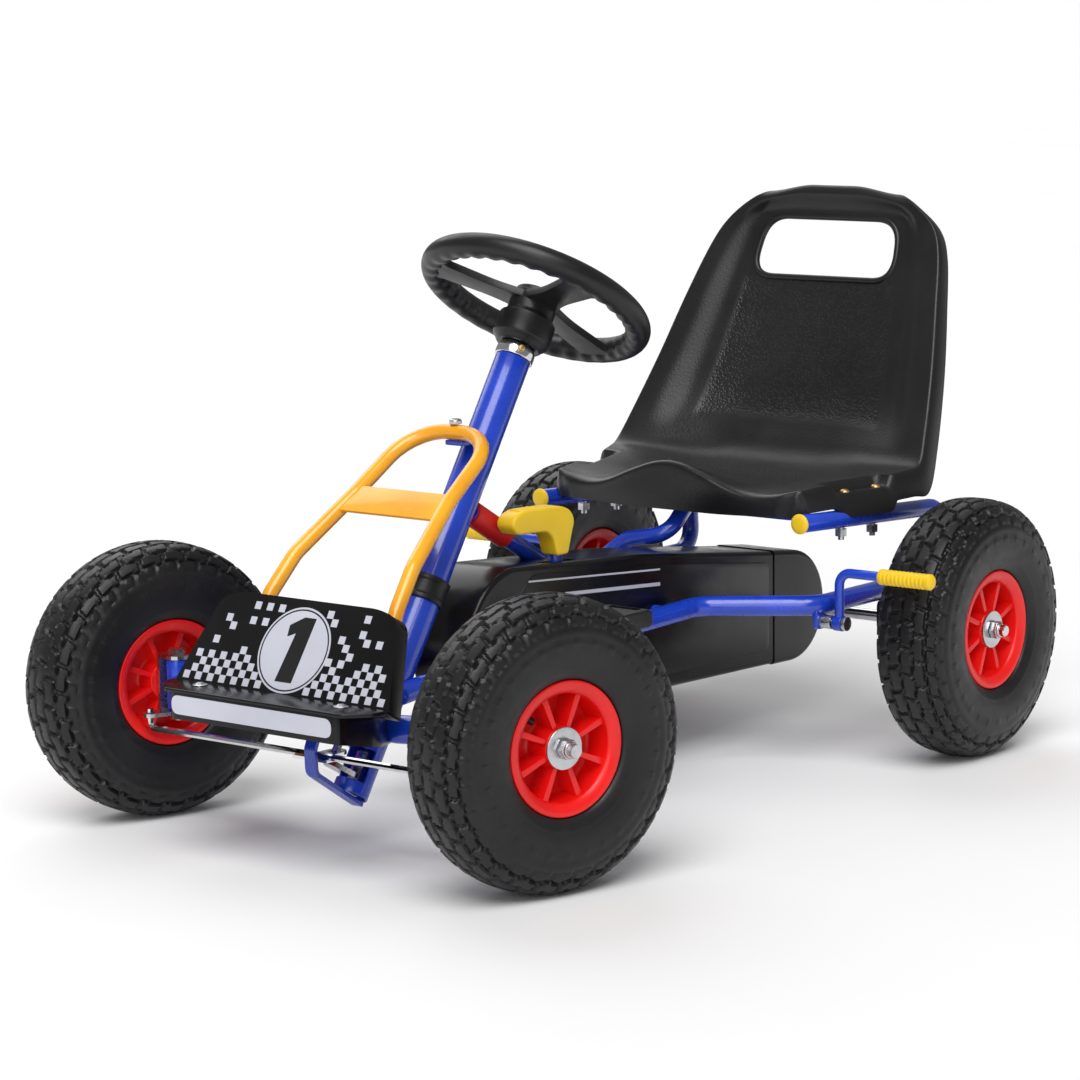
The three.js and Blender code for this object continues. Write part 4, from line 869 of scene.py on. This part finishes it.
def build_guard():
    half, foot = GUARD_HALF, BRACE_FOOT
    shell = side_plate(guard_outline(0), -half, half, 4.5, 5)
    hollow = side_plate(guard_outline(2.6), 2.6 - half, half - 2.6, 3)
    rear = side_plate(rect(GUARD_SPLIT - 0.5, 0, 900, 400), -60, 60, 0)
    passage = pipe([BRACE_TOP, foot], 10.6, 1, 24)
    slot = slab(rounded(rect(17.5, 270, 26.5, 324), 4), 200, 262, 0)
    body = bored(shell, hollow, rear, passage, cross_hole(9.2, foot.y, foot.z), cross_hole(8.6, CRANK.y, CRANK.z),
                 slot, cross_hole(5, *SHIFT_Y_Z, 0))
    add_piece("chain_guard", body, "frame", "black_gloss_plastic", ("guard_left", "guard_right"), crease=30)
    for hand, _, flip in HANDS:
        panel = rounded([(212, 100), (640, 92), (640, 186), (420, 214), (240, 229), (212, 206, 26)], 10, 8)
        relief = bored(side_plate(panel, half - 1, half + 0.7, 0.6), cross_hole(9.4, foot.y, foot.z, 0),
                       cross_hole(5.2, *SHIFT_Y_Z, 0), cross_hole(9, CRANK.y, CRANK.z, 0))
        add_piece(f"guard_panel_{hand}", relief, "frame", "black_gloss_plastic", (), flip, 30)
    for index, (y0, z0, y1, z1, thick) in enumerate([(233, 222.4, 446, 205.3, 1.8), (290, 202.3, 446, 190.3, 3.6)]):
        rise = thick / 2
        stripe = [(y0, z0 - rise), (y1, z1 - rise), (y1, z1 + rise), (y0, z0 + rise)]
        add_piece(f"guard_stripe_{index}", side_plate(stripe, half + 0.6, half + 0.9, 0), "frame", "decal_pale")
    cap = side_plate(guard_outline(-1.1), -half - 1.1, half + 1.1, 5, 5)
    cut = side_plate(rect(0, 0, GUARD_SPLIT + 0.5, 400), -60, 60, 0)
    core = side_plate(guard_outline(1.6), 1.6 - half, half - 1.6, 3)
    add_piece("guard_rear_cover", bored(cap, cut, core, cross_hole(8, WHEELBASE, AXLE_Z)), "frame",
              "black_gloss_plastic", ("guard_rear_cap",), crease=30)


def pedal_mesh():
    outline = rounded([(-28, -5.5), (-24, -9), (24, -9), (28, -5.5), (28, 5.5), (24, 9), (-24, 9), (-28, 5.5)], 2.5)
    wells = [slab(rounded(rect(81, v - 5, 119, v + 5), 2.5), -12, 12, 0) for v in (-16, 16)]
    body = bored(side_plate(outline, 74, 126, 2), *wells, revolve(rod(60, 122.9, 5), 28))
    ribs = []
    for v in (-25.5, -22, -9, -5, 5, 9, 22, 25.5):
        drop = -1.6 if abs(v) > 24 else 0
        for over in (180, 0):
            rib = slab(rounded(rect(76, v - 0.7, 124, v + 0.7), 0.3, 2), 8.2, 8.95, 0.25, 2)
            ribs.append(moved(rib, spin(over, "X") @ at(0, 0, drop)))
    return joined(body, *ribs)


def build_pedals():
    hub = at(0, CRANK.y, CRANK.z)
    for hand, side, flip in HANDS:
        tip = Vector((math.cos(CRANK_ANGLE), math.sin(CRANK_ANGLE))) * CRANK_LENGTH * side
        at_tip = at(0, CRANK.y + tip.x, CRANK.z + tip.y)
        add_piece(f"pedal_block_{hand}", moved(pedal_mesh(), at_tip), f"pedal_{hand}", "black_plastic",
                  (f"pedal_{hand}",), flip, 30)
        outward = math.atan2(tip.y, tip.x)
        arm = arc(0, 0, 11, outward + math.pi / 2, outward + math.pi * 1.5, 12)
        arm += arc(tip.x, tip.y, 8, outward - math.pi / 2, outward + math.pi / 2, 12)
        bar = moved(side_plate(arm, 65, 72, 1.4), hub)
        pin = turned(rod(70, 122, 4.4), 0.5, 2, 28, at_tip)
        boss = turned(rect(64, 6.9, 73, 11.8), 0.8, 3, 40, hub)
        add_piece(f"crank_arm_{hand}", joined(bar, pin, boss), "crank", "zinc_steel", (f"crank_{hand}",), flip)
    shaft = turned(rod(-73, 73, 6.4), 0.6, 2, 32)
    boss = turned(rect(-6, 6, 6, 14), 0.8, 2, 40)
    teeth = []
    for i in range(CHAINRING_TEETH):
        for share, offset in ((-0.34, -3.4), (-0.1, 0.9), (0.1, 0.9), (0.34, -3.4)):
            angle = 2 * math.pi * (i + share) / CHAINRING_TEETH
            radius = CHAIN_PITCH / 2 / math.sin(math.pi / CHAINRING_TEETH) + offset
            teeth.append((radius * math.cos(angle), radius * math.sin(angle)))
    ring = joined(shaft, boss, side_plate(teeth, -1.4, 1.4, 0))
    add_piece("chainring", moved(ring, hub), "crank", "zinc_steel", ("chainring_axle",))


def grip_mesh(start, end, radius, ridges):
    """A ridged grip about X, with a domed end."""
    profile = [(start, 0), (start, 5.7), (start, radius - 0.6), (start + 1, radius)]
    step = (end - start - 10) / ridges
    for i in range(ridges):
        x = start + 4 + step * i
        profile += [(x, radius), (x + step * 0.2, radius - 0.9), (x + step * 0.5, radius - 0.9),
                    (x + step * 0.7, radius)]
    profile += [(end - 3, radius), (end - 0.8, radius - 2), (end, radius - 5), (end, 0)]
    return revolve(profile, 40)


def build_levers():
    top = BRAKE_Z + 52
    for hand, _, flip in HANDS:
        tube = pipe([(187, BRAKE_Y, BRAKE_Z + 3), (187, BRAKE_Y, top), (290, BRAKE_Y, top)], 4.9, 13, 24)
        eye = turned(rect(182, 4.5, 192, 8), 0.8, 3, 32, at(0, BRAKE_Y, BRAKE_Z))
        body = f"brake_{hand}"
        add_piece(f"brake_rod_{hand}", joined(tube, eye), body, "blue_paint", (f"brake_lever_{hand}",), flip)
        grip = moved(grip_mesh(236, 298, 8, 11), at(0, BRAKE_Y, top))
        add_piece(f"brake_handle_{hand}", grip, body, "yellow_plastic", (f"brake_grip_{hand}",), flip)
    outline = rounded([(291, 148, 5), (309, 148, 5), (306, 205, 8), (301, 262), (288, 262), (292, 205, 8)], 3)
    pin = turned(rod(13, 43, 4), 0.5, 2, 24, at(0, *SHIFT_Y_Z))
    bar = side_plate(outline, 19.5, 24.5, 0.8)
    add_piece("gear_lever", joined(bar, pin), "shift", "blue_paint", ("shift_lever",))
    pistol = rounded([(303, 240), (310, 262, 8), (314, 272, 8), (308, 283, 8), (292, 289, 10), (234, 291, 8),
                      (220, 286, 8), (216, 277, 8), (224, 268, 8), (270, 266, 10), (280, 258, 10), (286, 240)], 3, 6)
    ridges = [side_plate(rounded(rect(y, 267, y + 2.4, 291.2), 0.8, 2), 16, 28, 0.6, 2) for y in range(232, 257, 6)]
    add_piece("gear_lever_grip", joined(side_plate(pistol, 11, 33, 6.5, 6), *ridges), "shift", "yellow_plastic",
              ("shift_grip",), crease=40)


# ------------------------------------------------------------------ seat
MIDDLE, HALF, EDGE, CHANNEL, RIM = range(5)
# (middle y, z), half width, edge (y, z), thigh channel depth, rim turn (x, y, z)
SEAT_ROWS = [
    ((518, 254), 147, (516, 257), 0, (0, -1, -1)),
    ((509, 303), 155, (519, 284), 20, (2, 4, -22)),
    ((536, 299), 160, (537, 287), 14, (3, 0, -24)),
    ((580, 280), 169, (580, 288), 3, (3, 0, -25)),
    ((628, 274), 183, (626, 289), 0, (3, 0, -26)),
    ((672, 278), 195, (664, 292), 0, (3, 4, -27)),
    ((706, 293), 200, (684, 298), 0, (2, 10, -30)),
    ((728, 326), 195, (702, 324), 0, (-2, 22, -14)),
    ((751, 385), 181, (737, 386), 0, (-2, 22, -8)),
    ((777, 452), 166, (768, 450), 0, (-2, 20, -6)),
    ((796, 506), 151, (796, 505), 0, (-3, 18, -6)),
    ((807, 540), 135, (809, 534), 0, (-4, 17, -6)),
    ((813, 565), 106, (814, 556), 0, (-3, 11, -3)),
    ((820, 572), 86, (822, 564), 0, (-2, 4, -1)),
    ((829, 567), 79, (829, 558), 0, (-1, 2, -1)),
]
SEAT_WALL = 4.5
SKIN_SHARE = 0.965
HEM_STEPS = 10


def seat_value(column, t):
    """One column of the seat's rows, smoothly between them."""
    return catmull([Vector(row[column]) if column in (MIDDLE, EDGE, RIM) else float(row[column])
                    for row in SEAT_ROWS], t)


def smooth(value, low, high):
    t = max(0.0, min(1.0, (value - low) / (high - low)))
    return t * t * (3 - 2 * t)


def seat_point(t, share):
    """A point of the seat's top skin: t counts the rows, share runs from -1 to 1 across."""
    s = abs(share)
    dip = math.sin(math.pi * min(s / 1.1, 1)) ** 2 * seat_value(CHANNEL, t)
    place = seat_value(MIDDLE, t).lerp(seat_value(EDGE, t), smooth(s, 0.3, 1.0))
    inner = smooth(t, 6.4, 7.6) * (1 - smooth(t, 11.1, 12.0)) * (1 - smooth(s, 0.68, 0.86))
    corner = (1 - smooth(t, 1.0, 2.0)) * smooth(s, 0.86, 1.0)
    ledge = smooth(t, 2.75, 3.0) * (1 - smooth(t, 4.35, 4.5)) * smooth(s, 0.87, 0.91)
    return Vector((seat_value(HALF, t) * share, place.x + 9 * inner + 6 * corner, place.y - dip - 11 * ledge))


def grain_mask(t, share):
    """Where the moulded leather grain is: a panel on the back and one on the pan."""
    s = abs(share)
    back = smooth(t, 7.0, 7.1) * (1 - smooth(t, 9.35, 9.45)) * (1 - smooth(s, 0.58, 0.61))
    pan = smooth(t, 2.4, 3.0) * (1 - smooth(t, 4.8, 5.4)) * (1 - smooth(s, 0.62, 0.72))
    return back, pan


def seat_grid(rows=150, columns=96):
    grid, grain = [], []
    for i in range(rows + 1):
        t = (len(SEAT_ROWS) - 1) * i / rows
        rim = seat_value(RIM, t)
        line, marks = [], []
        for j in range(columns + 1):
            share = (2 * j / columns - 1) * SKIN_SHARE
            back, pan = grain_mask(t, share)
            line.append(seat_point(t, share) + Vector((0, 1.6 * back, 0)))
            marks.append(max(back, 0.7 * pan, 0.12))
        hems = []
        for side in (-1, 1):
            start, corner = seat_point(t, side * SKIN_SHARE), seat_point(t, side * 1.0)
            end = corner + Vector((side * rim.x, rim.y, rim.z))
            hems.append([(1 - u) ** 2 * start + 2 * u * (1 - u) * corner + u * u * end
                         for u in (k / HEM_STEPS for k in range(1, HEM_STEPS + 1))])
        grid.append(hems[0][::-1] + line + hems[1])
        grain.append([0.1] * HEM_STEPS + marks + [0.1] * HEM_STEPS)
    return grid, grain


def seat_mesh():
    grid, grain = seat_grid()
    rows, columns = len(grid), len(grid[0])
    vertices = [point for line in grid for point in line]
    mesh = bpy.data.meshes.new("seat_skin")
    mesh.from_pydata([tuple(v) for v in vertices], [], grid_faces(rows, columns, False, False))
    marks = mesh.attributes.new("grain", "FLOAT", "POINT")
    marks.data.foreach_set("value", [value for line in grain for value in line])
    holder = thickened(mesh, SEAT_WALL)
    slot = rounded([(-91, 474.5), (91, 474.5), (84, 536.5), (-84, 536.5)], 28, 12)
    return settled(holder, cut_by(holder, moved(slab(slot, -900, -740, 0), spin(90, "X"))))


def on_back(x, z):
    """The point of the seat's back skin at a height, near the middle of the slot's reach."""
    low, high = 7.0, 12.5
    for _ in range(40):
        t = (low + high) / 2
        point = seat_point(t, x / seat_value(HALF, t))
        if point.z < z:
            low = t
        else:
            high = t
    return point


def build_seat():
    add_piece("seat_shell", seat_mesh(), "frame", "seat_plastic", ("seat",), crease=50)
    outline = rounded([(-92.5, 473), (92.5, 473), (85.5, 538), (-85.5, 538)], 29, 12)
    path = [on_back(x, z) + Vector((0, SEAT_WALL / 2, -0.4)) for x, z in outline]
    count, sides, radius = len(path), 16, 3.6
    vertices = []
    for i, point in enumerate(path):
        tangent = (path[(i + 1) % count] - path[i - 1]).normalized()
        normal = Vector((0, -1, 0.3)).normalized()
        normal = (normal - tangent * normal.dot(tangent)).normalized()
        across = tangent.cross(normal)
        for k in range(sides):
            angle = 2 * math.pi * k / sides
            vertices.append(point + (normal * math.cos(angle) + across * math.sin(angle)) * radius)
    add_piece("seat_slot_lip", mesh_of(vertices, grid_faces(count, sides)), "frame", "seat_plastic", (), crease=60)
    head = turned([(0, 0), (0, 5.4), (1.6, 5.2), (3.2, 3.4), (3.6, 0)], 0.8, 3, 28, ABOUT_Z)
    for hand, side, _ in HANDS:
        for end, y in (("front", 594), ("rear", 636)):
            spot = seat_point(3 + (y - 580) / 48, side * 0.945) - Vector((0, 0, 0.6))
            add_piece(f"seat_stud_{end}_{hand}", head.copy(), "frame", "brass", (), at(*spot))


# ------------------------------------------------------------------ carried-over CAD nodes
CARRIED = {
    "blue_paint": ["pitman_guard"],
    "chrome": ["track_rod", "steering_shaft"],
    "zinc_steel": ["kingpin_left", "kingpin_right", "knuckle_left", "knuckle_right", "chain", "sprocket",
                   "seat_bolt_front_left", "seat_bolt_front_right", "seat_bolt_rear_left", "seat_bolt_rear_right"],
}


def dress_cad():
    for material, name in ((material, name) for material, names in CARRIED.items() for name in names):
        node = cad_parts[name]
        node.data.materials.clear()
        node.data.materials.append(MATERIALS[material])
        soft = node.modifiers.new("soft_edges", "BEVEL")
        soft.width = 0.0006
        soft.segments = 2
        soft.limit_method = "ANGLE"
        soft.angle_limit = math.radians(40)


# ------------------------------------------------------------------ studio
FLOOR_REACH = 900
# Each sun: heading, strength and angular size in degrees.
SUNS = {
    "key": ((-0.35, 0.55, -1.0), 2.4, 44),
    "fill": ((0.9, -0.5, -0.9), 1.0, 50),
    "front": ((-0.5, 0.9, -0.35), 0.5, 30),
}
CAMERA_PLACE = Vector((2.1136, -2.3706 + ROW_Y, 0.7864))
CAMERA_LENS = 116.9
AZIMUTH, PITCH, ROLL = (math.radians(a) for a in (38.37, 8.933, -0.704))


def build_floor():
    n = Nodes("studio_floor", (0.9, 0.9, 0.9), 0.7)
    n.shades(1.5, (0.9, 0.9, 0.9), (0.92, 0.92, 0.92))
    mesh = bpy.data.meshes.new("floor")
    corners = rect(-FLOOR_REACH, -FLOOR_REACH, FLOOR_REACH, FLOOR_REACH)
    mesh.from_pydata([(x, y, 0) for x, y in corners], [], [(0, 1, 2, 3)])
    mesh.materials.append(n.material)
    floor = linked("floor", mesh)


def build_lights():
    bpy.context.scene.view_settings.view_transform = "Standard"
    world = bpy.data.worlds.new("studio")
    bpy.context.scene.world = world
    world.use_nodes = True
    sky = world.node_tree.nodes["Background"]
    sky.inputs["Color"].default_value = (1, 1, 1, 1)
    sky.inputs["Strength"].default_value = 0.25
    for name, (heading, strength, softness) in SUNS.items():
        lamp = bpy.data.lights.new(name, "SUN")
        lamp.energy = strength
        lamp.angle = math.radians(softness)
        linked(name, lamp).rotation_euler = Vector(heading).to_track_quat("-Z", "Y").to_euler()


def build_camera():
    camera_data = bpy.data.cameras.new("camera")
    camera_data.lens = CAMERA_LENS
    camera_data.sensor_width = 36
    ahead = Vector((-math.sin(AZIMUTH) * math.cos(PITCH), math.cos(AZIMUTH) * math.cos(PITCH), -math.sin(PITCH)))
    right = ahead.cross(Vector((0, 0, 1))).normalized()
    up = right.cross(ahead)
    across = right * math.cos(ROLL) + up * math.sin(ROLL)
    upward = up * math.cos(ROLL) - right * math.sin(ROLL)
    turn = Matrix((across, upward, -ahead)).transposed()
    camera = linked("camera", camera_data)
    camera.matrix_world = Matrix.Translation(CAMERA_PLACE) @ turn.to_4x4()
    bpy.context.scene.camera = camera


build_wheels()
build_frame()
build_column()
build_steering_wheel()
build_shield()
build_fairing()
build_guard()
build_pedals()
build_levers()
build_seat()
dress_cad()
build_floor()
build_lights()
build_camera()
